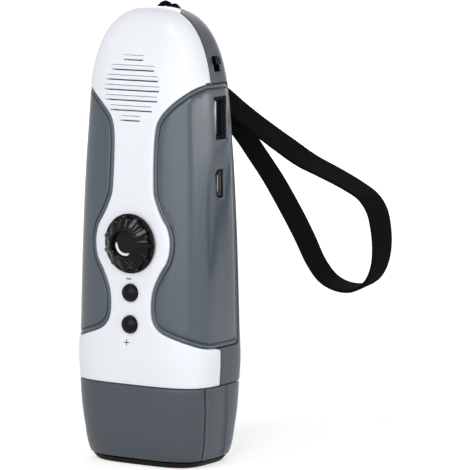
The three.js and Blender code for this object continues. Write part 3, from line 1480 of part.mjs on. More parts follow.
function wristStrap() {
  const curve = new THREE.CatmullRomCurve3(STRAP_ROUTE.map((point) => new THREE.Vector3(...point)));
  const widthwise = new THREE.Vector3(0, 1, 0);
  const corners = [[-1, -1], [1, -1], [1, 1], [-1, 1]];
  const rings = Array.from({ length: STRAP_STEPS + 1 }, (_, step) => {
    const centre = curve.getPointAt(step / STRAP_STEPS);
    const along = curve.getTangentAt(step / STRAP_STEPS);
    const face = new THREE.Vector3().crossVectors(along, widthwise);
    return corners.map(([side, lift]) =>
      centre
        .clone()
        .addScaledVector(widthwise, (side * STRAP_WIDTH) / 2)
        .addScaledVector(face, (lift * STRAP_THICKNESS) / 2)
        .toArray(),
    );
  });
  return loft(rings);
}

// Crimp: a folded clip with a pocket for the two strap ends below and a hole for the cord above
function strapCrimp() {
  const pocketHalf = STRAP_THICKNESS + GAP * 3;
  const pocketReach = STRAP_WIDTH / 2 + GAP;
  const half = pocketHalf + CRIMP_WALL;
  const reach = pocketReach + CRIMP_WALL;
  const outline = roundedRectangle(-half, half, -reach, reach, CRIMP_CORNER);
  const body = new THREE.ExtrudeGeometry(outline, {
    depth: CRIMP_HEIGHT,
    bevelEnabled: false,
    curveSegments: 2,
  });
  const pocketTop = CRIMP_HEIGHT - CRIMP_PLATE;
  const pocket = block([-pocketHalf, -pocketReach, -GAP], [pocketHalf, pocketReach, pocketTop]);
  const cordHalf = CORD_DIAMETER / 2 + GAP;
  const cordHole = block(
    [-CORD_DIAMETER - GAP * 2, -cordHalf, CRIMP_HEIGHT - CRIMP_PLATE / 2],
    [CORD_DIAMETER + GAP * 2, cordHalf, CRIMP_HEIGHT * 2],
  );
  return solidFrom(body).subtract(pocket.add(cordHole));
}

// Assembly: case
piece("front_shell", frontShell(), GLOSS_WHITE);
piece("rear_shell", rearShell(), MATTE_SHELL);
const grip = gripPanel();
piece("left_grip", mirroredX(grip), MATTE_GRIP);
piece("right_grip", grip.subtract(socketCuts(GRIP_SOCKET_MARGIN)), MATTE_GRIP);

// Lamp end
piece("lamp_head", lampHead(), MATTE_HEAD);
piece("lens_bezel", lensBezel(), GLOSS_BLACK);
piece("lens", bodyCore(lensInset, lensFoot, lensFoot + LENS_THICKNESS), GLASS);
piece("reflector", reflector(), MIRROR);
piece("led_board", bodyCore(lensInset, ledBoardFoot, ledBoardFoot + LED_BOARD_THICKNESS), BOARD);
ledPlaces.forEach((x, index) => {
  piece(`led_${index + 1}`, led(), GLASS, [x, 0, ledBoardFoot - GAP]);
});

// Tuning, buttons and board
const tuning = new THREE.Group();
tuning.position.set(0, knobBaseY, KNOB_Z);
model.add(tuning);
piece("tuning_knob", knob(), GLOSS_BLACK, [0, 0, 0], tuning);
piece("tuning_shaft", tuningShaft(), BRIGHT_BRASS, [0, 0, 0], tuning);
piece("tuning_capacitor", tuningCapacitor(), MATTE_BLACK, [0, 0, KNOB_Z]);
piece("minus_button", pushButton(MINUS_Z), GLOSS_BLACK, [0, 0, MINUS_Z]);
piece("plus_button", pushButton(PLUS_Z), GLOSS_BLACK, [0, 0, PLUS_Z]);
piece("minus_tact_switch", tactSwitch(), MATTE_BLACK, [0, 0, MINUS_Z]);
piece("plus_tact_switch", tactSwitch(), MATTE_BLACK, [0, 0, PLUS_Z]);
piece("main_board", mainBoard(), BOARD);
piece("battery_cell", batteryCell(), BLUE_WRAP);

// Sockets and switch
piece("usb_a_shell", usbShell(), BRIGHT_STEEL);
piece("usb_a_tongue", usbTongue(), MATTE_BLACK);
piece("micro_usb_shell", microShell(), BRIGHT_STEEL);
piece("micro_usb_tongue", microTongue(), MATTE_BLACK);
piece("slide_switch_body", switchBody(), BRIGHT_STEEL);
piece("slide_switch_knob", switchKnob(), GLOSS_BLACK);

// Speaker
const speakerPlace = [0, 0, SPEAKER_Z];
piece("speaker_basket", speakerBasket(), BRIGHT_STEEL, speakerPlace);
piece("speaker_cone", speakerCone(), MATTE_BLACK, speakerPlace);
piece("speaker_magnet", speakerMagnet(), BRIGHT_STEEL, speakerPlace);

// Crank: the arm turns about Y, the knob folds about the fold pin
const crank = new THREE.Group();
crank.position.set(0, 0, CRANK_Z);
model.add(crank);
piece("crank_arm", crankArm(), MATTE_SHELL, [0, 0, 0], crank);
piece("crank_shaft", crankShaft(), BRIGHT_STEEL, [0, 0, 0], crank);
piece("crank_screw", crankScrew(), BRIGHT_STEEL, [0, 0, 0], crank);
piece("drive_gear", driveGear(), GEAR_WHITE, [0, 0, 0], crank);
const fold = new THREE.Group();
fold.position.set(0, armBackY + ARM_THICKNESS / 2, CRANK_RADIUS);
crank.add(fold);
piece("fold_pin", foldPin(), BRIGHT_STEEL, [0, 0, 0], fold);
piece("knob_axle", knobAxle(), BRIGHT_STEEL, [0, 0, 0], fold);
piece("knob_sleeve", knobSleeve(), MATTE_SHELL, [0, 0, 0], fold);

// Gear train
piece("crank_bushing", crankBushing(), BRIGHT_BRASS, [0, 0, CRANK_Z]);
piece("compound_gear", compoundGear(), GEAR_WHITE, [0, 0, compoundZ]);
piece("compound_pin", compoundPin(), BRIGHT_STEEL, [0, 0, compoundZ]);
piece("generator_pinion", generatorPinion(), GEAR_WHITE, [0, 0, generatorZ]);
piece("generator", generatorCan(), BRIGHT_STEEL, [0, 0, generatorZ]);
piece("gearbox_plate", gearboxPlate(), BRIGHT_STEEL);

// Case screws
lowScrews.forEach(([x, z], index) => {
  piece(`case_screw_${index + 1}`, caseScrew(SCREW_LENGTH), BRIGHT_STEEL, [x, lowSeatY + GAP, z]);
});
topScrews.forEach(([x, z], index) => {
  piece(`top_screw_${index + 1}`, caseScrew(TOP_SCREW_LENGTH), BRIGHT_STEEL, [x, TOP_SCREW_SEAT_Y + GAP, z]);
});

// Lanyard and wrist strap
piece("lanyard_pin", lanyardPin(), BRIGHT_STEEL, [0, LUG_Y, LUG_Z]);
piece("lanyard_cord", lanyardCord(), MATTE_BLACK, [0, 0, BODY_HEIGHT]);
piece("strap_crimp", strapCrimp(), BRIGHT_STEEL, [0, CRIMP_Y, CRIMP_FOOT]);
piece("wrist_strap", wristStrap(), MATTE_BLACK, [0, 0, BODY_HEIGHT]);

// The origin is under the middle of the object, between the tuning knob's face and the crank arm
model.position.y = -(knobFaceY + armFrontY) / 2;

export default model;
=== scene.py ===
import json
import math

import bpy
import numpy as np
from mathutils import Matrix, Vector
from mathutils.geometry import delaunay_2d_cdt


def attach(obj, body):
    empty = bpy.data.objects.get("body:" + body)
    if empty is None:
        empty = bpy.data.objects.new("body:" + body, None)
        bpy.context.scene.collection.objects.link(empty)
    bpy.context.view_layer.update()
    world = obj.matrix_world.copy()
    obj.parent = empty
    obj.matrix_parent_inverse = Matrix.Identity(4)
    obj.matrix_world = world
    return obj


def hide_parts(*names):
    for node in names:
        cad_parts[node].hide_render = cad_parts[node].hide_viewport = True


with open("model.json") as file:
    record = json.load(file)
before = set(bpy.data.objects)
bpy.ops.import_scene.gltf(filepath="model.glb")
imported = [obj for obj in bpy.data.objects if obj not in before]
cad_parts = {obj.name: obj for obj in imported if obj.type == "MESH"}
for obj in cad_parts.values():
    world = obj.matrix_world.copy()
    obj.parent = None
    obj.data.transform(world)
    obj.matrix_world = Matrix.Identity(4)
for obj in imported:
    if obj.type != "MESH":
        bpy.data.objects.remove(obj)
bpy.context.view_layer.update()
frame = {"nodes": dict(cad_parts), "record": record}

# Sizes, in millimetres
HEIGHT, HALF_WIDTH, HALF_DEPTH = 150, 26.1, 18.15
DEPTH_TAPER, SQUARENESS, DOME_POWER, DOME_START = 0.16, 3.7, 2.73, 108
WIDTH_SHARES = np.array([
    (0, 0.77), (0.0167, 0.843), (0.04, 0.888), (0.073, 0.919), (0.12, 0.957), (0.173, 0.979),
    (0.227, 1), (0.293, 0.992), (0.4, 0.981), (0.533, 0.962), (0.667, 0.93), (0.75, 0.9), (1, 0.885),
])
HEAD_TOP, HEAD_FOOT, SHELL_FOOT = 26.9, 2.1, 27.15
SEAM_Y, SEAM_TOP_Y, SEAM_TURN, SEAM_STEP = -2.6, 1.2, 10.4, 0.8
GRIP_TOP, GRIP_FOOT, GRIP_BACK, GRIP_CORNER = 125.7, 39.6, 9.5, 3
SADDLE_Y, SADDLE_LOW, SADDLE_HIGH = 13.2, 32, 101
NOTCH_X, NOTCH_Y, NOTCH_FLOOR = 6, 1.6, 140.2
SPEAKER_X, SPEAKER_Z, SPEAKER_RADIUS = -1.6, 124.1, 10.9
BAR_COUNT, BAR_PITCH, BAR_HALF_HEIGHT = 7, 3.28, 0.65
KNOB_Z, KNOB_RADIUS, KNOB_FLANGE, KNOB_HEIGHT, KNOB_BULGE = 73.6, 9.8, 0.8, 3.7, 14.6
MINUS_Z, PLUS_Z, BUTTON_HOLE = 57.4, 47, 3
USB_Y, USB_Z, USB_MOUTH_X, MICRO_Z = 2.2, 114.4, 22.3, 93.2
SLOT_Y, SLOT_Z, SWITCH_FACE_X = 2, 131.9, 16.9
CRANK_Z, ARM_FACE_Y, BUSHING_WELL = 66.5, 22.2, 4.7
CASE_SCREWS = [(-15.5, 37.5), (-16, 83), (15.5, 37.5), (16, 83)]
TOP_SCREWS = [(-10.5, 140.2), (10.5, 140.2)]
SCREW_RADIUS, SCREW_WELL = 2.5, 2.8
TOP = 149.97
TURN, MM = 2 * math.pi, 0.001


# Body form
def width_share(z):
    heights, widths = WIDTH_SHARES[:, 0] * HEIGHT, WIDTH_SHARES[:, 1]
    slopes = np.gradient(widths, heights)
    z = np.clip(z, 0, HEIGHT)
    i = np.clip(np.searchsorted(heights, z) - 1, 0, len(heights) - 2)
    step = heights[i + 1] - heights[i]
    t = (z - heights[i]) / step
    start = (1 + 2 * t) * (1 - t) ** 2 * widths[i] + t * (1 - t) ** 2 * step * slopes[i]
    return start + t * t * (3 - 2 * t) * widths[i + 1] - t * t * (1 - t) * step * slopes[i + 1]


def section(z, inset=0):
    """Half width and half depth of the body at a height."""
    t = np.clip((z - DOME_START) / (HEIGHT - DOME_START), 0, 0.99999)
    dome = (1 - t ** DOME_POWER) ** (1 / DOME_POWER)
    share = width_share(z)
    taper = 1 - DEPTH_TAPER * np.clip(z, 0, HEIGHT) / HEIGHT
    return (HALF_WIDTH * share - inset) * dome, (HALF_DEPTH * share * taper - inset) * dome


def around(turn):
    """Shares of the half width and the half depth at a turn about Z."""
    c, s = np.cos(turn), np.sin(turn)
    reach = (np.abs(c) ** SQUARENESS + np.abs(s) ** SQUARENESS) ** (-1 / SQUARENESS)
    return reach * c, reach * s


def other_share(share):
    """The share of one half size where the body's outline reaches a share of the other."""
    return (1 - np.abs(share) ** SQUARENESS) ** (1 / SQUARENESS)


def at_height(turn, z):
    return np.stack([turn, np.full(len(turn), float(z))], 1)


def units(vectors):
    return vectors / np.linalg.norm(vectors, axis=1)[:, None]


KNOB_BASE_Y = -section(np.array([KNOB_Z - KNOB_RADIUS]))[1][0] - 0.3
SHIFT_Y = -(KNOB_BASE_Y - KNOB_FLANGE - KNOB_HEIGHT + ARM_FACE_Y) / 2
SLOPE_STEP = 0.02


class Body:
    """The body's surface: places are (turn about Z, height) pairs, and its flat chart keeps angles."""

    depth = np.geomspace(HEIGHT - TOP, HEIGHT, 700)
    wide, deep = section(HEIGHT - depth)
    radius = (wide + deep) / 2
    steps = np.hypot(np.diff(depth), np.diff(radius))
    length = np.concatenate([[0], np.cumsum(steps)])
    log = math.log(radius[0]) + np.concatenate([[0], np.cumsum(2 * steps / (radius[1:] + radius[:-1]))])

    def place(self, uv, lift=0):
        turn, z = uv[:, 0], uv[:, 1]
        a, b = section(z)
        across, along = around(turn)
        (a2, b2), (a1, b1) = section(z + SLOPE_STEP), section(z - SLOPE_STEP)
        slope_a, slope_b = (a2 - a1) / (2 * SLOPE_STEP), (b2 - b1) / (2 * SLOPE_STEP)
        power = SQUARENESS - 1
        normal = units(np.stack([
            np.abs(across) ** power * np.sign(across) / a,
            np.abs(along) ** power * np.sign(along) / b,
            -(np.abs(across) ** SQUARENESS * slope_a / a + np.abs(along) ** SQUARENESS * slope_b / b),
        ], 1))
        points = np.stack([a * across, b * along, z], 1)
        return points + normal * np.broadcast_to(lift, turn.shape)[:, None], normal

    def locate(self, points):
        a, b = section(points[:, 2])
        return np.stack([np.arctan2(points[:, 1] / b, points[:, 0] / a), points[:, 2]], 1)

    def chart(self, uv):
        reach = np.exp(np.interp(HEIGHT - uv[:, 1], self.depth, self.log))
        return np.stack([reach * np.cos(uv[:, 0]), reach * np.sin(uv[:, 0])], 1)

    def unchart(self, flat):
        log = np.log(np.hypot(flat[:, 0], flat[:, 1]))
        z = HEIGHT - np.interp(log, self.log, self.depth)
        return np.stack([np.arctan2(flat[:, 1], flat[:, 0]), z], 1)

    def grid(self, low, high, cell):
        first, last = np.interp([HEIGHT - high, HEIGHT - low], self.depth, self.length)
        rows = np.linspace(first, last, max(2, round((last - first) / cell)) + 1)
        found = []
        for index, row in enumerate(rows):
            z = HEIGHT - np.interp(row, self.length, self.depth)
            count = max(6, round(TURN * np.interp(row, self.length, self.radius) / cell))
            found.append(at_height((np.arange(count) + 0.5 * (index % 2)) / count * TURN, z))
        return np.concatenate(found)


class Flat:
    """A plane y = level that faces +Y: places are (x, z) pairs."""

    def __init__(self, level):
        self.level = level

    def place(self, uv, lift=0):
        lift = np.broadcast_to(lift, len(uv))
        normal = np.tile([0.0, 1.0, 0.0], (len(uv), 1))
        return np.stack([uv[:, 0], self.level + lift, uv[:, 1]], 1), normal

    def locate(self, points):
        return points[:, [0, 2]]

    def chart(self, uv):
        return uv * (-1, 1)

    def unchart(self, flat):
        return flat * (-1, 1)

    def grid(self, low, high, cell):
        x, z = np.meshgrid(np.arange(-HALF_WIDTH, HALF_WIDTH, cell), np.arange(low, high, cell))
        return np.stack([x.ravel(), z.ravel()], 1)


BODY = Body()
MICRO_MOUTH_X = section(np.array([MICRO_Z]))[0][0] - 0.66


# Meshes
def directions(line):
    """The unit direction of a line at each of its points."""
    return units(np.gradient(line, axis=0))


def distances(line):
    """How far along a line each of its points lies."""
    return np.concatenate([[0], np.cumsum(np.linalg.norm(np.diff(line, axis=0), axis=1))])


def turns(count):
    """A full turn in even steps."""
    return np.arange(count) / count * TURN


def band(low, high, count):
    """Faces between two closed rows of points, given the first point's index in each."""
    return [(low + i, low + (i + 1) % count, high + (i + 1) % count, high + i) for i in range(count)]


def tube(rows, closed=False):
    """A tube through rows of points, its last row joined to its first or both of them capped."""
    count = len(rows[0])
    starts = [row * count for row in range(len(rows))]
    faces = [face for low, high in zip(starts, starts[1:]) for face in band(low, high, count)]
    if closed:
        faces += band(starts[-1], 0, count)
    else:
        faces += [tuple(range(count))[::-1], tuple(range(starts[-1], starts[-1] + count))]
    return np.concatenate(rows), faces


def area(loop):
    x, y = loop[:, 0], loop[:, 1]
    return 0.5 * np.sum(x * np.roll(y, -1) - np.roll(x, -1) * y)


def inside(loops, points):
    """Whether each point is in an odd number of the loops."""
    found = np.zeros(len(points), bool)
    px, py = points[:, 0], points[:, 1]
    for loop in loops:
        for (x1, y1), (x2, y2) in zip(loop, np.roll(loop, -1, 0)):
            if y1 == y2:
                continue
            crosses = ((y1 > py) != (y2 > py)) & (px < (x2 - x1) * (py - y1) / (y2 - y1) + x1)
            found ^= crosses
    return found


BATCH = 2000


def clear_of(loops, points, distance):
    """Points further than a distance from every vertex of the loops, in space."""
    kept = np.ones(len(points), bool)
    edge = np.concatenate(loops)
    for start in range(0, len(points), BATCH):
        part = points[start:start + BATCH]
        gaps = np.linalg.norm(part[:, None] - edge[None], axis=2).min(1)
        kept[start:start + BATCH] = gaps > distance
    return kept


def triangles(flat, loops):
    """Constrained triangles of flat points, whose first ones are the loops, one after the other."""
    edges, start = [], 0
    for loop in loops:
        count = len(loop)
        edges += [(start + i, start + (i + 1) % count) for i in range(count)]
        start += count
    made = delaunay_2d_cdt([Vector(p) for p in flat], edges, [], 0, 1e-6)
    places = np.array([tuple(p) for p in made[0]])
    faces = np.array([tuple(f) for f in made[2]])
    middle = places[faces].mean(1)
    return places, faces[inside(loops, middle)], made[3]


def oriented(loops, surface):
    """The first loop counter-clockwise from outside and the others clockwise."""
    found = []
    for index, loop in enumerate(loops):
        turned_left = area(surface.chart(loop)) > 0
        found.append(loop if turned_left == (index == 0) else loop[::-1])
    return found


def inward(loop, surface):
    """Points and directions off a loop, along the surface and into the panel."""
    points, normals = surface.place(loop)
    left = np.cross(normals, units(np.roll(points, -1, 0) - points))
    both = units(left + np.roll(left, 1, 0))
    spread = np.clip(np.sum(both * left, axis=1), 0.5, 1)
    return points, both / spread[:, None]


def filled(surface, edges, cell, start):
    """One face of a panel: the places it adds inside its edges, named from start, and its triangles.

    Each edge is the index of its first point and its places.
    """
    loops = [places for _, places in edges]
    charts = [surface.chart(places) for places in loops]
    z = np.concatenate(loops)[:, 1]
    fill = surface.grid(z.min(), z.max(), cell)
    fill = fill[inside(charts, surface.chart(fill))]
    fill = fill[clear_of([surface.place(places)[0] for places in loops], surface.place(fill)[0], cell * 0.55)]
    uv = np.concatenate(loops + [fill])
    names = np.concatenate([first + np.arange(len(places)) for first, places in edges])
    flat, tris, sources = triangles(surface.chart(uv), charts)
    added, index = [], []
    for place, source in zip(flat, sources):
        if source and source[0] < len(names):
            index.append(names[source[0]])
            continue
        index.append(start + len(added))
        added.append(uv[source[0]] if source else surface.unchart(place[None])[0])
    corners = [(index[a], index[b], index[c]) for a, b, c in tris]
    return np.array(added).reshape(-1, 2), [face for face in corners if len(set(face)) == 3]


def panel(surface, loops, profiles, cell=1.3, relief=None):
    """A closed panel: a profile of (distance, lift) pairs along each loop, filled above and below.

    The first loop is its outline and the others are holes in it.
    """
    def lifted(uv, lift):
        return surface.place(uv, lift + (relief(uv) if relief else 0))[0]

    verts, faces, lows, highs, start = [], [], [], [], 0
    for loop, profile in zip(oriented(loops, surface), profiles):
        points, into = inward(loop, surface)
        rows = [surface.locate(points + into * distance) for distance, _ in profile]
        verts += [lifted(uv, lift) for uv, (_, lift) in zip(rows, profile)]
        count, last = len(loop), start + len(loop) * (len(rows) - 1)
        for low in range(start, last, count):
            faces += band(low, low + count, count)
        lows.append((start, rows[0]))
        highs.append((last, rows[-1]))
        start = last + count
    for edges, size, end in ((highs, cell, -1), (lows, cell * 2.5, 0)):
        uv, tris = filled(surface, edges, size, start)
        verts.append(lifted(uv, profiles[0][end][1]))
        faces += tris if end else [face[::-1] for face in tris]
        start += len(uv)
    return np.concatenate(verts), faces


def joined(*parts):
    """Several (verts, faces) as one."""
    verts, faces, start = [], [], 0
    for points, sides in parts:
        verts.append(points)
        faces += [tuple(i + start for i in side) for side in sides]
        start += len(points)
    return np.concatenate(verts), faces


def swept(line, ring):
    """A capped tube along a line; ring(side, lift, gone) gives the points round its middle."""
    ahead = directions(line)
    side = np.cross(ahead[0], (0.0, 0.0, 1.0) if abs(ahead[0][2]) < 0.9 else (0.0, 1.0, 0.0))
    rows = []
    for point, forward, gone in zip(line, ahead, distances(line)):
        side = side - forward * np.dot(side, forward)
        side = side / np.linalg.norm(side)
        rows.append(point + ring(side, np.cross(forward, side), gone))
    return tube(rows)


def mirrored(shape):
    return shape[0] * (-1, 1, 1), [side[::-1] for side in shape[1]]


def piece(name, shape, look, body, stands_for=(), sharp=35):
    """A piece from millimetres in the source's frame, with its material, on its body."""
    verts, faces = shape
    mesh = bpy.data.meshes.new(name)
    mesh.from_pydata([tuple(v) for v in (verts + (0, SHIFT_Y, 0)) * MM], [], faces)
    mesh.validate()
    mesh.shade_smooth()
    mesh.set_sharp_from_angle(angle=math.radians(sharp))
    mesh.materials.append(look)
    made = bpy.data.objects.new(name, mesh)
    bpy.context.scene.collection.objects.link(made)
    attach(made, body)
    if stands_for:
        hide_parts(*stands_for)
    return made


# Lines on the body
def on_front(x, z):
    a, _ = section(z)
    across = np.clip(x / a, -0.9995, 0.9995)
    return np.stack([np.arctan2(-other_share(across), across), z], 1)


def on_side(y, z, side=1):
    along = np.clip(y / section(z)[1], -0.9999, 0.9999)
    return np.stack([np.arctan2(along, side * other_share(along)), z], 1)


def on_back(x, z):
    found = on_front(x, z)
    return np.stack([-found[:, 0], found[:, 1]], 1)


def height_at(x, y):
    """The height of the dome above a point."""
    low, high = np.full(len(x), float(DOME_START)), np.full(len(x), float(HEIGHT))
    for _ in range(40):
        middle = (low + high) / 2
        a, b = section(middle)
        within = np.abs(x / a) ** SQUARENESS + np.abs(y / b) ** SQUARENESS < 1
        low, high = np.where(within, middle, low), np.where(within, high, middle)
    return low


def spline(points, step, power=0.5):
    """Points about a step apart on a centripetal curve through the given ones."""
    points = np.array(points, float)
    ends = np.concatenate([[2 * points[0] - points[1]], points, [2 * points[-1] - points[-2]]])
    found = []
    for p0, p1, p2, p3 in zip(ends, ends[1:], ends[2:], ends[3:]):
        t1 = np.linalg.norm(p1 - p0) ** power
        t2 = t1 + np.linalg.norm(p2 - p1) ** power
        t3 = t2 + np.linalg.norm(p3 - p2) ** power
        t = np.linspace(t1, t2, 17)[:-1, None]
        a1, a2 = p0 + (p1 - p0) * t / t1, p1 + (p2 - p1) * (t - t1) / (t2 - t1)
        a3 = p2 + (p3 - p2) * (t - t2) / (t3 - t2)
        b1, b2 = a1 + (a2 - a1) * t / t2, a2 + (a3 - a2) * (t - t1) / (t3 - t1)
        found.append(b1 + (b2 - b1) * (t - t1) / (t2 - t1))
    return even(np.concatenate(found + [points[-1:]]), step)


def even(points, step):
    """The same line with its points a step apart."""
    gone = distances(points)
    at = np.linspace(0, gone[-1], max(2, round(gone[-1] / step) + 1))
    return np.stack([np.interp(at, gone, points[:, k]) for k in range(points.shape[1])], 1)


def arc(cx, cy, radius, first, last, count=7):
    angles = np.radians(np.linspace(first, last, count))
    return np.stack([cx + radius * np.cos(angles), cy + radius * np.sin(angles)], 1)


def box_loop(x1, x2, y1, y2, radius, step=0.5):
    corners = [
        arc(x2 - radius, y1 + radius, radius, -90, 0), arc(x2 - radius, y2 - radius, radius, 0, 90),
        arc(x1 + radius, y2 - radius, radius, 90, 180), arc(x1 + radius, y1 + radius, radius, 180, 270),
    ]
    line = np.concatenate(corners + [corners[0][:1]])
    found = []
    for start, end in zip(line, line[1:]):
        count = max(1, round(np.linalg.norm(end - start) / step))
        found += [start + (end - start) * k / count for k in range(count)]
    return np.array(found)


def circle_loop(x, y, radius, count=40):
    angles = turns(count)
    return np.stack([x + radius * np.cos(angles), y + radius * np.sin(angles)], 1)


EDGE_STEP = 0.7
EDGE = spline(np.concatenate([
    [(22.5, 125.7), (18.44, 122.78), (12.79, 118.25), (9.2, 114.04), (8, 109.5), (8, 91.7), (8.3, 89.37)],
    arc(0, KNOB_Z, KNOB_BULGE, 42, 20, 2), [(KNOB_BULGE, KNOB_Z)], arc(0, KNOB_Z, KNOB_BULGE, -20, -42, 2),
    [(8.3, 57.83), (8, 50.6), (8.99, 47.63), (11.42, 45.21), (18.44, 42.57), (22.58, 41.14), (26, 39.6)],
]), EDGE_STEP)


def grip_edge(offset):
    """The grip's front edge from top to foot on the +X side, moved off the grip by an offset."""
    ahead = directions(EDGE)
    line = EDGE + np.stack([ahead[:, 1], -ahead[:, 0]], 1) * offset
    line = line[line[:, 0] < section(line[:, 1])[0] * 0.998]
    return on_front(line[:, 0], line[:, 1])


def grip_side(offset):
    """The grip's foot, back edge and top on the +X side, from the front edge's foot to its top."""
    edge = grip_edge(offset)
    foot_y = BODY.place(edge[-1:])[0][0, 1]
    top_y = BODY.place(edge[:1])[0][0, 1]
    low, high, back = GRIP_FOOT - offset, GRIP_TOP + offset, GRIP_BACK + offset
    round_y, radius, past = back - GRIP_CORNER, GRIP_CORNER, 0.6
    line = even(np.concatenate([
        [(foot_y + past, low)], arc(round_y, low + radius, radius, -90, 0),
        arc(round_y, high - radius, radius, 0, 90), [(top_y + past, high)],
    ]), EDGE_STEP)
    return on_side(line[:, 0], line[:, 1])


def seam(offset):
    """The seam over the dome from the grip's top on the +X side to that on the -X side."""
    low_y = SEAM_Y + offset
    z = np.arange(GRIP_TOP + 0.2, 141, SEAM_STEP)
    right = on_side(np.full(len(z), low_y), z)
    x = BODY.place(right[-1:])[0][0, 0]
    across = np.linspace(x, -x, round(2 * x / 0.4) + 1)[1:-1]
    rise = np.clip((SEAM_TURN - np.abs(across)) / 2.2, 0, 1)
    y = low_y + (SEAM_TOP_Y - SEAM_Y) * rise * rise * (3 - 2 * rise)
    across, y = even(np.stack([across, y], 1), 0.6).T
    top = BODY.locate(np.stack([across, y, height_at(across, y)], 1))
    left = on_side(np.full(len(z), low_y), z, -1)[::-1]
    return np.concatenate([right, top, left])


def seam_low(offset):
    """The seam below the grip on the +X side, from the shell's foot up."""
    low, high = SHELL_FOOT, GRIP_FOOT - 0.6
    z = np.linspace(low, high, round((high - low) / SEAM_STEP) + 1)
    return on_side(np.full(len(z), SEAM_Y + offset), z)


def flipped(loop):
    """A line mirrored to the other side, run the other way."""
    return np.stack([math.pi - loop[:, 0], loop[:, 1]], 1)[::-1]


# Materials
def material(name, colour, roughness, metallic=0.0, **sockets):
    made = bpy.data.materials.new(name)
    made.use_nodes = True
    shader = made.node_tree.nodes["Principled BSDF"]
    shader.inputs["Base Color"].default_value = (*colour, 1)
    shader.inputs["Roughness"].default_value = roughness
    shader.inputs["Metallic"].default_value = metallic
    for key, value in sockets.items():
        shader.inputs[key.replace("_", " ")].default_value = value
    return made


def node(tree, kind, inputs=None, **settings):
    made = tree.nodes.new(kind)
    for key, value in settings.items():
        setattr(made, key, value)
    for key, value in (inputs or {}).items():
        if isinstance(value, bpy.types.NodeSocket):
            tree.links.new(value, made.inputs[key])
        else:
            made.inputs[key].default_value = value
    return made


def plastic(name, colour, roughness, grain, grain_size, variation=0.04, **sockets):
    """Moulded plastic: a fine grain in its height, and slow changes of colour and gloss."""
    made = material(name, colour, roughness, **sockets)
    tree = made.node_tree
    shader = tree.nodes["Principled BSDF"]
    place = node(tree, "ShaderNodeTexCoord").outputs["Object"]
    cloud = node(tree, "ShaderNodeTexNoise", {"Vector": place, "Scale": 60.0, "Detail": 3.0})
    low = tuple(c * (1 - variation) for c in colour) + (1,)
    high = tuple(min(1, c * (1 + variation)) for c in colour) + (1,)
    tint = node(tree, "ShaderNodeMix", {"Factor": cloud.outputs["Fac"]}, data_type="RGBA")
    tint.inputs["A"].default_value, tint.inputs["B"].default_value = low, high
    tree.links.new(tint.outputs["Result"], shader.inputs["Base Color"])
    wear = node(tree, "ShaderNodeMapRange", {
        "Value": cloud.outputs["Fac"], "To Min": roughness * 0.9, "To Max": roughness * 1.1,
    })
    tree.links.new(wear.outputs["Result"], shader.inputs["Roughness"])
    fine = node(tree, "ShaderNodeTexNoise", {"Vector": place, "Scale": 1000 / grain_size, "Detail": 2.0})
    bump = node(tree, "ShaderNodeBump", {
        "Height": fine.outputs["Fac"], "Strength": grain, "Distance": 0.00004,
    })
    tree.links.new(bump.outputs["Normal"], shader.inputs["Normal"])
    return made


WHITE = plastic("white_shell", (0.82, 0.84, 0.89), 0.3, 0.12, 0.5, 0.01, Specular_IOR_Level=0.4)
GREY = plastic("grey_shell", (0.054, 0.063, 0.078), 0.4, 0.5, 0.35, Specular_IOR_Level=0.4)
GRIP = plastic("grip", (0.06, 0.079, 0.099), 0.25, 0.2, 0.3, Specular_IOR_Level=0.5)
HEAD = plastic("head", (0.06, 0.072, 0.086), 0.36, 0.5, 0.35, Specular_IOR_Level=0.35)
BLACK = plastic("black_gloss", (0.003, 0.003, 0.0035), 0.12, 0.1, 0.4, Specular_IOR_Level=0.14)
DARK = plastic("black_matte", (0.006, 0.006, 0.006), 0.6, 0.6, 0.2, Specular_IOR_Level=0.06)
RING = plastic("lens_ring", (0.011, 0.0095, 0.008), 0.5, 0.3, 0.4, Specular_IOR_Level=0.06)
SOCKET = plastic("socket_steel", (0.3, 0.32, 0.36), 0.3, 0.2, 0.2, Metallic=1.0)
IVORY = plastic("socket_ivory", (0.62, 0.58, 0.47), 0.45, 0.2, 0.3, Specular_IOR_Level=0.4)
STEEL = plastic("steel", (0.36, 0.37, 0.39), 0.4, 0.3, 0.2, Metallic=1.0)
BRASS = plastic("brass", (0.7, 0.52, 0.24), 0.3, 0.2, 0.2, Metallic=1.0)
GEAR = plastic("gear", (0.75, 0.72, 0.62), 0.45, 0.3, 0.3)
BOARD = plastic("board", (0.03, 0.16, 0.08), 0.4, 0.3, 0.6)
WRAP = plastic("cell_wrap", (0.05, 0.15, 0.4), 0.35, 0.2, 0.6)
WEB = plastic("webbing", (0.005, 0.0048, 0.0053), 0.8, 1.0, 0.3, Specular_IOR_Level=0.02)
LENS = material("lens", (0.95, 0.97, 1), 0.04, Transmission_Weight=1.0, IOR=1.58)
LED = material("led", (0.95, 0.95, 0.88), 0.08, Transmission_Weight=0.85, IOR=1.5)
MIRROR = material("reflector", (0.88, 0.89, 0.9), 0.08, 1.0)

LOOKS = {
    "white_shell": WHITE, "grey_shell": GREY, "grip": GRIP, "head": HEAD, "black_gloss": BLACK,
    "black_matte": DARK, "steel": STEEL, "brass": BRASS, "gear": GEAR, "board": BOARD, "cell_wrap": WRAP,
    "webbing": WEB, "lens": LENS, "led": LED, "reflector": MIRROR,
}
# The slide switch's body takes the black matte look as painted shade, so that the bottom of its slot reads
# dark.
OWN_LOOKS = {"usb_a_shell": SOCKET, "micro_usb_tongue": IVORY, "slide_switch_body": DARK}
for row in frame["record"]["subparts"]:
    mesh = frame["nodes"][row["node"]].data
    mesh.materials.clear()
    mesh.materials.append(OWN_LOOKS.get(row["node"], LOOKS[row["material_slot"]]))
    mesh.shade_smooth()
    mesh.set_sharp_from_angle(angle=math.radians(30))

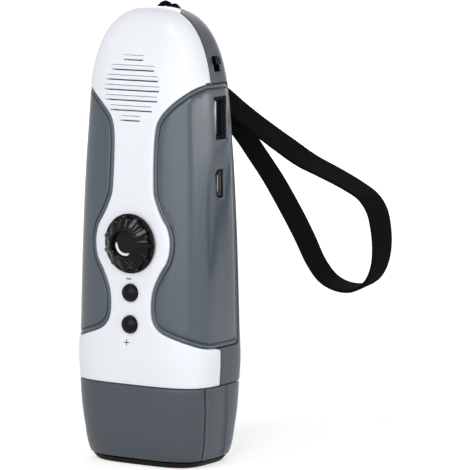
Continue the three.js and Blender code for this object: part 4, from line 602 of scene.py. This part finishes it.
# Shells and grips
JOINT_GAP = 0.06
EDGE_ROUND = [(0, -2.2), (0, -0.4), (0.06, -0.18), (0.2, -0.05), (0.4, 0)]
HOLE_ROUND = [(0, -2.2), (0, -0.22), (0.06, -0.08), (0.2, 0)]
SLIT_ROUND = [(0, -2.2), (0, -0.1), (0.03, 0)]
WELL_ROUND = [(0, -3.4), (0, -0.22), (0.07, -0.07), (0.22, 0)]
SADDLE_EDGE, FLOOR_EDGE = [(0, -4.6), (0, 0)], [(0, -1.4), (0, 0)]
SOCKET_ROUND = [(0, -2.6), (0, -0.55), (0.06, -0.42), (0.2, -0.35)]
BAR_ROUND = [(0, -0.5), (0, 0.2), (0.08, 0.42), (0.25, 0.56), (0.45, 0.6)]
GRIP_RIM = [
    (0, -1.65), (0, -0.95), (0.08, -0.7), (0.25, -0.48), (0.5, -0.37), (0.85, -0.35), (1.15, -0.42),
    (1.32, -0.6), (1.42, -0.92), (1.55, -0.98), (1.68, -0.92), (1.76, -0.6), (1.9, -0.42), (2.15, -0.35),
]


def front_shell():
    right_low = seam_low(-JOINT_GAP)
    right = np.concatenate([right_low, grip_edge(JOINT_GAP)[::-1]])
    turn = right_low[0, 0]
    bottom = at_height(np.linspace(-math.pi - turn, turn, 120)[1:-1], SHELL_FOOT)
    loops = [np.concatenate([bottom, right, seam(-JOINT_GAP), flipped(right)])]
    loops += [on_front(*circle_loop(0, z, BUTTON_HOLE).T) for z in (MINUS_Z, PLUS_Z)]
    slits = []
    for z, half in speaker_rows():
        for low, high in ((-1.02, -BAR_HALF_HEIGHT), (BAR_HALF_HEIGHT, 0.8)):
            slit = box_loop(SPEAKER_X - half + 0.5, SPEAKER_X + half - 0.5, z + low, z + high, 0.06)
            slits.append(on_front(*slit.T))
    profiles = [EDGE_ROUND, HOLE_ROUND, HOLE_ROUND] + [SLIT_ROUND] * len(slits)
    return panel(BODY, loops + slits, profiles)


def speaker_rows():
    """The height and half length of each bar; their ends lie near a circle."""
    rises = (np.arange(BAR_COUNT) - (BAR_COUNT - 1) / 2) * BAR_PITCH
    halves = np.sqrt(SPEAKER_RADIUS ** 2 - (np.abs(rises) + 0.35) ** 2) + 0.4
    return list(zip(SPEAKER_Z + rises, halves))


def speaker_bars():
    bars = []
    for z, half in speaker_rows():
        loop = box_loop(SPEAKER_X - half, SPEAKER_X + half, z - BAR_HALF_HEIGHT, z + BAR_HALF_HEIGHT, 0.64)
        bars.append(panel(BODY, [on_front(*loop.T)], [BAR_ROUND]))
    return joined(*bars)


def usb_corners(front, back, half):
    """The USB-A mouth's corners as (y, z) pairs."""
    return [(front, USB_Z - half), (back, USB_Z - half), (back, USB_Z + half), (front, USB_Z + half)]


def micro_corners(front, back, half, cut):
    """The micro USB mouth's corners as (y, z) pairs, the front ones cut off."""
    return [
        (front, MICRO_Z - half + cut), (front + cut, MICRO_Z - half), (back, MICRO_Z - half),
        (back, MICRO_Z + half), (front + cut, MICRO_Z + half), (front, MICRO_Z + half - cut),
    ]


def slot_loop(half_y, half_z, radius):
    """The slide switch's slot as (y, z) pairs."""
    return box_loop(SLOT_Y - half_y, SLOT_Y + half_y, SLOT_Z - half_z, SLOT_Z + half_z, radius)


def grip(with_sockets):
    loops = [np.concatenate([grip_edge(-JOINT_GAP), grip_side(-JOINT_GAP)])]
    if with_sockets:
        usb = box_loop(USB_Y - 3.6, USB_Y + 3.6, USB_Z - 6.95, USB_Z + 6.95, 0.35)
        micro = np.array(micro_corners(-2.85, 1.45, 4.6, 1.3))
        micro = even(np.concatenate([micro, micro[:1]]), 0.5)[:-1]
        loops += [on_side(*usb.T), on_side(*micro.T)]
    return panel(BODY, loops, [GRIP_RIM, SOCKET_ROUND, SOCKET_ROUND][:len(loops)])


def rear_shell():
    right_low = seam_low(JOINT_GAP)
    right = np.concatenate([right_low, grip_side(JOINT_GAP)])
    turn = right_low[0, 0]
    bottom = at_height(np.linspace(turn, math.pi - turn, 200)[1:-1], SHELL_FOOT)
    outer = np.concatenate([bottom, flipped(right)[::-1], seam(JOINT_GAP)[::-1], right[::-1]])
    z = np.linspace(SADDLE_LOW, SADDLE_HIGH, 90)
    edge = on_side(np.full(len(z), SADDLE_Y), z)
    foot, head = [at_height(np.linspace(turn, math.pi - turn, 60)[1:-1], z) for turn, z in edge[[0, -1]]]
    saddle = np.concatenate([foot, flipped(edge)[::-1], head[::-1], edge[::-1]])
    slot = on_side(*slot_loop(1.7, 2.5, 0.3).T)
    wells = [on_back(*circle_loop(x, z, SCREW_WELL).T) for x, z in TOP_SCREWS]
    loops = [outer, saddle, notch_loop(), slot, *wells]
    shell = panel(BODY, loops, [EDGE_ROUND, SADDLE_EDGE] + [HOLE_ROUND] * 4)
    liners = [pocket(notch_loop(), 2, NOTCH_FLOOR)] + [pocket(well, 1, 4.9) for well in wells]
    return joined(shell, saddle_floor(saddle), *liners)


def notch_loop():
    """The notch's edge on the dome: its front, its two sides and its foot at the back."""
    x = np.linspace(-NOTCH_X, NOTCH_X, 17)
    foot = on_back(x, np.full(17, NOTCH_FLOOR))
    y = np.linspace(NOTCH_Y, BODY.place(foot[:1])[0][0, 1], 22)[1:-1]

    def on_dome(x, y):
        x, y = np.broadcast_arrays(x, y)
        return BODY.locate(np.stack([x, y, height_at(x, y)], 1))

    return np.concatenate([on_dome(x, NOTCH_Y), on_dome(NOTCH_X, y), foot[::-1], on_dome(-NOTCH_X, y)[::-1]])


def pocket(loop, axis, level, sink=0.1):
    """A liner from a loop on the body down to a plane across an axis, with its floor."""
    top = BODY.place(loop, -sink)[0]
    keep = [k for k in range(3) if k != axis]
    if area(top[:, keep]) < 0:
        top = top[::-1]
    low = top.copy()
    low[:, axis] = level
    count = len(loop)
    places, tris, _ = triangles(low[:, keep], [low[:, keep]])
    floor = np.full((len(places), 3), float(level))
    floor[:, keep] = places
    faces = band(0, count, count) + [tuple(2 * count + i for i in tri) for tri in tris]
    return np.concatenate([top, low, floor]), faces


def saddle_floor(loop):
    """The flat behind the crank, with the wells of four screws and the bushing's seat."""
    outline = BODY.place(loop)[0][:, [0, 2]]
    wells = [circle_loop(x, z, SCREW_WELL) for x, z in CASE_SCREWS] + [circle_loop(0, CRANK_Z, BUSHING_WELL)]
    return panel(Flat(SADDLE_Y), [outline, *wells], [FLOOR_EDGE] + [WELL_ROUND] * len(wells), 2.5)


def mouth_shade_frame(outer, inner, level):
    """A black frame round a socket's mouth, from two loops of (y, z) corners: painted shade for the deep
    shadow in the gap between the grip and the socket.
    """
    outer, inner = np.array(outer), np.array(inner)
    crest = inner + (outer - inner) * 0.25
    rows = [(outer, 0), (outer, 0.14), (crest, 0.2), (inner, 0.1), (inner, 0)]
    return tube([np.insert(loop, 0, level + rise, axis=1) for loop, rise in rows], closed=True)


def slot_shade_sleeve():
    """A black sleeve in the slide switch's slot, from just under the dome down to the switch: painted shade
    that darkens the slot's walls as its shadow does.
    """
    top = BODY.place(on_side(*slot_loop(1.68, 2.48, 0.28).T), -0.1)[0]
    low = top * (0, 1, 1) + (SWITCH_FACE_X, 0, 0)
    middle, shrink = (0, SLOT_Y, SLOT_Z), (1, 0.94, 0.99)
    return tube([low, top, (top - middle) * shrink + middle, (low - middle) * shrink + middle], closed=True)


# The socket frames and the slot sleeve are painted shade: black pieces where these recesses are only in
# shadow.
mouth_shades = joined(
    mouth_shade_frame(usb_corners(-1.38, 5.78, 6.93), usb_corners(-0.78, 4.7, 5.9), USB_MOUTH_X + 0.02),
    mouth_shade_frame(
        micro_corners(-2.83, 1.43, 4.58, 1.28), micro_corners(-1.95, 0.5, 3.7, 0.8), MICRO_MOUTH_X + 0.02,
    ),
    slot_shade_sleeve(),
)
piece("socket_mouth_shades", mouth_shades, DARK, "case")


def usb_lip():
    """The bright front edge of the USB socket's shell, rounded along its length and at its ends."""
    half, end = 5.5, 0.25
    past = [half, half - 0.08, half - end]
    heights = np.array([-z for z in past] + [0] + past[::-1])
    line = np.stack([np.full(7, USB_MOUTH_X + 0.2), np.full(7, -0.6), USB_Z + heights], 1)
    c, s = np.cos(turns(20)), np.sin(turns(20))
    thick, wide = 0.11 * np.abs(c) ** 0.5 * np.sign(c), 0.48 * np.abs(s) ** 0.5 * np.sign(s)

    def ring(side, lift, gone):
        share = 1 - 0.5 * max(0, abs(gone - half) - (half - end)) / end
        return share * (thick[:, None] * side + wide[:, None] * lift)

    return swept(line, ring)


piece("usb_a_lip", usb_lip(), SOCKET, "case")
piece("front_shell_skin", front_shell(), WHITE, "case", ["front_shell"])
piece("speaker_bars", speaker_bars(), WHITE, "case")
piece("right_grip_skin", grip(True), GRIP, "case", ["right_grip"])
piece("left_grip_skin", mirrored(grip(False)), GRIP, "case", ["left_grip"])
piece("rear_shell_skin", rear_shell(), GREY, "case", ["rear_shell"])


# Lamp head and bezel
CHANNEL = [(-9.8, -7.2), (1.4, 4.2)]


def channel_y(ends, z):
    """How far back a channel's edge lies at a height, from its (top, foot) places."""
    top_y, foot_y = ends
    return foot_y + (top_y - foot_y) * (z - HEAD_FOOT) / (HEAD_TOP - HEAD_FOOT)


def side_line(ends, side):
    z = np.linspace(HEAD_FOOT, HEAD_TOP, 32)
    return on_side(channel_y(ends, z), z, side)


def round_run(start, end, z, step=0.035):
    """Places round the body at a height, from one turn to another."""
    count = max(2, round(abs(end - start) / step))
    return at_height(np.linspace(start, end, count + 1)[1:-1], z)


def head_part(first, second, extra):
    """A part of the head's side between two lines from foot to top, the second further round."""
    foot = round_run(first[0, 0], second[0, 0] + extra, HEAD_FOOT)
    top = round_run(second[-1, 0] + extra, first[-1, 0], HEAD_TOP)
    return np.concatenate([foot, second + (extra, 0), top, first[::-1]])


def channel_roll(uv):
    """The head's front rolls down a little towards the channels on its two sides."""
    points, _ = BODY.place(uv)
    before = channel_y(CHANNEL[0], uv[:, 1]) - points[:, 1]
    return -0.25 * np.clip(1 - before / 2.6, 0, 1) ** 2


def lamp_head():
    front, back = [side_line(ends, 1) for ends in CHANNEL]
    other_front, other_back = [side_line(ends, -1) for ends in CHANNEL]
    edge = [(0, -1.8), (0, -0.52), (0.1, -0.34), (0.28, -0.14), (0.5, -0.04), (0.7, 0)]
    rear_edge = [(0, -1.8), (0, -0.6), (0.1, -0.35), (0.35, -0.12), (0.8, 0)]
    floor = [(0, -1.8), (0, -0.8), (0.08, -0.36), (0.22, -0.14), (0.42, -0.08), (0.65, -0.14), (0.85, -0.22)]
    parts = [
        panel(BODY, [head_part(back, other_back, 0)], [rear_edge]),
        panel(BODY, [head_part(other_front, front, 0)], [edge], relief=channel_roll),
        panel(BODY, [head_part(front, back, 0)], [floor]),
        panel(BODY, [head_part(other_back, other_front, TURN)], [floor]),
    ]
    return joined(*parts)


def ringed(profile, count=200):
    """A closed tube round the body from (inset, height) pairs, its faces begun at their last point."""
    across, along = around(turns(count))
    rings = []
    for inset, z in profile:
        a, b = section(np.array([float(z)]), inset)
        rings.append(np.stack([a * across, b * along, np.full(count, float(z))], 1))
    verts, faces = tube(rings, closed=True)
    return verts, [face[-1:] + face[:-1] for face in faces]


BEZEL = [
    (2.5, 1.86), (2.5, 7), (4, 7), (4, 1), (6, 1), (6, 0.6), (5.9, 0.2), (5.5, 0), (1.1, 0), (0.7, 0.05),
    (0.42, 0.25), (0.3, 0.6), (0.3, 1.86),
]
piece("lamp_head_skin", lamp_head(), HEAD, "case", ["lamp_head"])
piece("lens_bezel_ring", ringed(BEZEL), RING, "case", ["lens_bezel"])


# Knob, buttons and screws
FLUTES, FLUTE_COLUMNS, RIDGE_COLUMNS, RIDGE_HALF = 11, 24, 4, 0.55


def fluted(radius, depth, turn):
    """Radii and turns of the hollow flutes between ridges with flat tops, whose edges lie on columns."""
    ridge = np.round(turn * FLUTES / TURN)
    off = turn * FLUTES / math.pi - 2 * ridge
    flat = RIDGE_COLUMNS / FLUTE_COLUMNS
    hollow = np.clip((np.abs(off) - flat) / (1 - flat), 0, 1)
    top = RIDGE_HALF * FLUTES / (math.pi * radius)
    across = (np.minimum(np.abs(off) / flat, 1) * top + hollow * (1 - top)) * np.sign(off)
    reach = radius / np.cos(np.clip(across, -top, top) * math.pi / FLUTES)
    return reach - depth * np.sqrt(1 - (1 - hollow) ** 2), (2 * ridge + across) * math.pi / FLUTES


def turned(profile, count=48):
    """A solid from (radius, y) pairs turned about Y, fluted where a third number gives the flutes' depth."""
    plain = turns(count)
    verts = [np.array([[0.0, profile[0][1], 0.0]])]
    for radius, y, *depth in profile[1:-1]:
        reach, turn = fluted(radius, *depth, plain) if depth else (radius, plain)
        verts.append(np.stack([reach * np.cos(turn), np.full(count, float(y)), reach * np.sin(turn)], 1))
    verts.append(np.array([[0.0, profile[-1][1], 0.0]]))
    last = (len(profile) - 2) * count + 1
    faces = [face for low in range(1, last - count, count) for face in band(low, low + count, count)]
    for i in range(count):
        j = (i + 1) % count
        faces += [(0, 1 + j, 1 + i), (last, last - count + i, last - count + j)]
    return np.concatenate(verts), faces


def moved(shape, x, y, z):
    return shape[0] + (x, y, z), shape[1]


KNOB_PROFILE = [
    (0, 0), (9.6, 0), (9.8, -0.1), (9.8, -0.3), (9.72, -0.4), (9.45, -0.43),
    (9.22, -0.5, 0.85), (9.18, -1, 0.95), (9.12, -1.75, 1), (8.95, -2.15, 1.05),
    (7.9, -2.85, 1.1), (6.8, -3.58, 1.1), (5.75, -4.27, 0.95), (5.4, -4.44, 0.5),
    (5.15, -4.49), (4.75, -4.48), (4.52, -4.3), (4.3, -3.2), (4.1, -2.92), (2, -2.87), (0, -2.85),
]


def knob_crescent():
    """A white crescent in the lower left of the knob's face, a thin strip standing a little proud of it."""
    count = 28
    angles = np.radians(np.linspace(172, 300, count))
    half = 0.44 * np.clip(np.sin(np.linspace(0.12, math.pi - 0.12, count)) * 2.2, 0, 1)
    rows = []
    for offset, y in ((-1, -2.7), (-1, -2.98), (-0.8, -3.04), (0.8, -3.04), (1, -2.98), (1, -2.7)):
        radius = 3.35 + offset * half
        rows.append(np.stack([radius * np.cos(angles), np.full(count, y), radius * np.sin(angles)], 1))
    return tube(np.stack(rows, 1))


knob = moved(turned(KNOB_PROFILE, FLUTES * FLUTE_COLUMNS), 0, KNOB_BASE_Y, KNOB_Z)
piece("tuning_knob_skin", knob, BLACK, "tuning", ["tuning_knob"], 28)
piece("tuning_knob_crescent", moved(knob_crescent(), 0, KNOB_BASE_Y, KNOB_Z), WHITE, "tuning")

BUTTON_PROFILE = [
    (0, 2.6), (3.7, 2.6), (3.7, 1.75), (2.85, 1.7), (2.85, -0.75), (2.72, -1.05), (2.45, -1.3), (2, -1.52),
    (1.4, -1.7), (0.7, -1.8), (0, -1.83),
]
for name, z in (("minus", MINUS_Z), ("plus", PLUS_Z)):
    face_y = BODY.place(on_front(np.array([0.0]), np.array([float(z)])))[0][0, 1]
    cap = moved(turned(BUTTON_PROFILE, 56), 0, face_y, z)
    piece(name + "_button_cap", cap, BLACK, name, [name + "_button"])


def bar_mark(x, z, half_length, half_height):
    loop = box_loop(x - half_length, x + half_length, z - half_height, z + half_height, 0.08, 0.2)
    return panel(BODY, [on_front(*loop.T)], [[(0, -0.15), (0, 0.03), (0.04, 0.05)]], 0.5)


MINUS_MARK, PLUS_MARK = (-0.7, 61.9), (-1.2, 41)
marks = joined(bar_mark(*MINUS_MARK, 1, 0.19), bar_mark(*PLUS_MARK, 1, 0.17), bar_mark(*PLUS_MARK, 0.17, 1))
piece("button_marks", marks, HEAD, "case")


def cross_loop(half, arm):
    """A cross from half the width and the length of its arms."""
    return np.array([
        (half, -arm), (half, -half), (arm, -half), (arm, half), (half, half), (half, arm),
        (-half, arm), (-half, half), (-arm, half), (-arm, -half), (-half, -half), (-half, -arm),
    ])


def screw_head(radius, level, x, z, depth):
    """A screw's head with a cross in it, its top at a level."""
    cross = cross_loop(radius * 0.15, radius * 0.58)
    edge = [(0, -depth), (0, -0.42), (0.12, -0.16), (0.42, 0)]
    head = panel(Flat(level), [circle_loop(0, 0, radius, 48), cross], [edge, [(0, -0.9), (0, 0)]], 0.9)
    floor = panel(Flat(level - 0.75), [cross * 1.02], [[(0, -0.2), (0, 0)]], 1)
    return moved(joined(head, floor), x, 0, z)


for kind, places, level in (("case_screw", CASE_SCREWS, 12.75), ("top_screw", TOP_SCREWS, 6.7)):
    for index, (x, z) in enumerate(places):
        name = "%s_%d" % (kind, index + 1)
        piece(name + "_head", screw_head(SCREW_RADIUS, level, x, z, 1.5), STEEL, "case", [name])
piece("crank_screw_head", screw_head(3.2, 20.9, 0, CRANK_Z, 1.6), STEEL, "crank", ["crank_screw"])

# Strap and cord
STRAP_Y, STRAP_HALF, TWIST_WEIGHT = 21, 6, 20
STRAP_ROUTE = [  # x, z and the twist in degrees
    (0.9, 130, 0), (0.9, 127.8, 0), (1, 126, 0), (3, 124, 2), (8.4, 121.5, 4), (15.6, 116.5, 6),
    (22.2, 112.2, 8), (28.8, 108.4, 8), (35, 104.9, 9), (44, 100, 9), (53, 96.5, 7), (62, 92.7, 4),
    (67.5, 89.6, 2), (70.8, 85.4, 1), (72.3, 80, 0), (72.8, 73.5, -2), (71.9, 67.5, -5), (69.2, 62.6, -7),
    (64.6, 59.8, -6), (58.6, 59.5, -3), (52.8, 61.6, 0), (48, 66.6, 2), (43.2, 75, 1), (38.2, 83, 0),
    (31, 93.4, 0), (25, 100.8, 0), (19.4, 107.4, 0), (11, 115.4, 0), (3.4, 120.6, 0), (0, 123.4, 0),
    (-0.9, 125.8, 0), (-0.9, 127.8, 0), (-0.9, 130, 0),
]
CORD_HALF = [
    (-1.2, 21, 131.9), (-1.3, 20.7, 133.8), (-1.6, 18.4, 138), (-1.8, 15.2, 142.2), (-1.9, 12.4, 146),
    (-2, 10, 149.2), (-2.2, 7, 150.6), (-2.6, 4.4, 149.6), (-3.1, 3.1, 147.2), (-3.7, 3.4, 144.6),
    (-4.2, 5.8, 142.7), (-4.5, 9, 141.9), (-4.7, 12.8, 141.4), (-4.4, 16.4, 140.6), (-3, 19.4, 139.8),
    (0, 20.6, 139.5),
]


def strap_shape():
    """Flat webbing with fine ribs along it, its width along Y but for its twist."""
    route = spline([(x, STRAP_Y, z, twist / TWIST_WEIGHT) for x, z, twist in STRAP_ROUTE], 1.4)
    line, twist = route[:, :3], np.radians(route[:, 3:] * TWIST_WEIGHT)
    across = np.linspace(-1, 1, 67)
    ribs = 0.42 + 0.18 * np.abs(np.sin(across * math.pi * 3.5))
    edge = np.clip((1 - np.abs(across)) * 14, 0, 1) ** 0.5
    upper = np.stack([across * STRAP_HALF, ribs * (0.35 + 0.65 * edge)], 1)
    outline = np.concatenate([upper, (upper * (1, -1))[::-1]])
    ahead = directions(line)
    flat = np.cross(ahead, (0.0, 1.0, 0.0))
    side = np.cos(twist) * (0.0, 1.0, 0.0) + np.sin(twist) * flat
    face = np.cross(ahead, side)
    return tube([p + outline[:, :1] * s + outline[:, 1:] * f for p, s, f in zip(line, side, face)]), line


def cord_shape():
    """Three strands twisted together."""
    back = [(-x - 0.9 * (z > 145), y, z - 0.8 * (z > 145)) for x, y, z in CORD_HALF[-2::-1]]
    line = spline(CORD_HALF + back, 0.35)
    turn = turns(24)

    def ring(side, lift, gone):
        radius = 0.7 + 0.22 * np.abs(np.cos(1.5 * (turn - gone * 1.5)))
        return radius[:, None] * (np.cos(turn)[:, None] * side + np.sin(turn)[:, None] * lift)

    return swept(line, ring), line


shape, line = strap_shape()
strap = piece("wrist_strap_webbing", shape, WEB, "case", ["wrist_strap"], 50)
shape, line = cord_shape()
lanyard = piece("lanyard_cord_strands", shape, WEB, "case", ["lanyard_cord"], 60)

# Camera and light
AIM, DISTANCE = Vector((0.020692, 0.013854 + SHIFT_Y * MM, 0.074648)), 1.2
AZIMUTH, ELEVATION, ROLL = math.radians(33.302), math.radians(7.0168), math.radians(0.0404)
camera = bpy.data.cameras.new("camera")
camera.lens, camera.sensor_width = 279.06, 36
camera.clip_start, camera.clip_end = 0.05, 20
eye = bpy.data.objects.new("camera", camera)
bpy.context.scene.collection.objects.link(eye)
swing = Matrix.Rotation(AZIMUTH, 4, "Z") @ Matrix.Rotation(math.pi / 2 - ELEVATION, 4, "X")
back_off = Matrix.Rotation(ROLL, 4, "Z") @ Matrix.Translation((0, 0, DISTANCE))
eye.matrix_world = Matrix.Translation(AIM) @ swing @ back_off
bpy.context.scene.camera = eye


def lamp(name, place, target, size, power, size_y=None):
    light = bpy.data.lights.new(name, "AREA")
    light.shape, light.size, light.size_y, light.energy = "RECTANGLE", size, size_y or size, power
    made = bpy.data.objects.new(name, light)
    made.location = place
    made.rotation_mode = "QUATERNION"
    made.rotation_quaternion = (Vector(target) - Vector(place)).to_track_quat("-Z", "Y")
    bpy.context.scene.collection.objects.link(made)


def toward(azimuth, distance, height):
    """A place round the object, its azimuth from the front towards +X."""
    angle = math.radians(azimuth)
    return distance * math.sin(angle), -distance * math.cos(angle), height


MIDDLE, SHOULDER = (0, 0, 0.08), (0, 0, 0.12)
lamp("side", toward(92, 0.55, 0.155), SHOULDER, 1.1, 1.7, 0.09)
lamp("front", toward(2, 1.2, 0.26), MIDDLE, 1.2, 4.9, 0.6)
lamp("key_low", toward(25, 1.06, 0.64), MIDDLE, 0.25, 2.5)
lamp("key_high", toward(-13, 0.77, 1.0), MIDDLE, 0.235, 2)
lamp("back", toward(200, 1.2, 0.5), MIDDLE, 0.9, 4.5)


def white_for_view(tree):
    """White to the camera, to reflections and through glass; its own light otherwise."""
    path = node(tree, "ShaderNodeLightPath").outputs
    seen = path["Is Camera Ray"]
    for kind in ("Is Glossy Ray", "Is Transmission Ray"):
        seen = node(tree, "ShaderNodeMath", {0: seen, 1: path[kind]}, operation="MAXIMUM").outputs[0]
    return seen


world = bpy.data.worlds.new("world")
world.use_nodes = True
tree = world.node_tree
dim = tree.nodes["Background"]
dim.inputs["Color"].default_value = (1, 1, 1, 1)
dim.inputs["Strength"].default_value = 0.35
white = node(tree, "ShaderNodeBackground", {"Color": (1, 1, 1, 1), "Strength": 1.0})
blend = node(tree, "ShaderNodeMixShader", {0: white_for_view(tree), 1: dim.outputs[0], 2: white.outputs[0]})
tree.links.new(blend.outputs[0], tree.nodes["World Output"].inputs["Surface"])
bpy.context.scene.world = world

plane = bpy.data.meshes.new("floor")
plane.from_pydata([(-4, -4, 0), (4, -4, 0), (4, 4, 0), (-4, 4, 0)], [], [(0, 1, 2, 3)])
floor = bpy.data.objects.new("floor", plane)
bpy.context.scene.collection.objects.link(floor)
floor_look = material("floor", (0.75, 0.75, 0.75), 0.9, Specular_IOR_Level=0, Emission_Color=(1, 1, 1, 1))
tree = floor_look.node_tree
place = node(tree, "ShaderNodeTexCoord").outputs["Object"]
far = node(tree, "ShaderNodeVectorMath", {0: place}, operation="LENGTH").outputs["Value"]
fade = node(tree, "ShaderNodeMapRange", {
    "Value": far, "From Min": 0.15, "From Max": 1.5, "To Min": 0.54, "To Max": 0.84,
}).outputs["Result"]
glow = node(tree, "ShaderNodeMath", {0: white_for_view(tree), 1: fade}, operation="MULTIPLY")
tree.links.new(glow.outputs[0], tree.nodes["Principled BSDF"].inputs["Emission Strength"])
plane.materials.append(floor_look)

bpy.context.scene.view_settings.view_transform = "Standard"
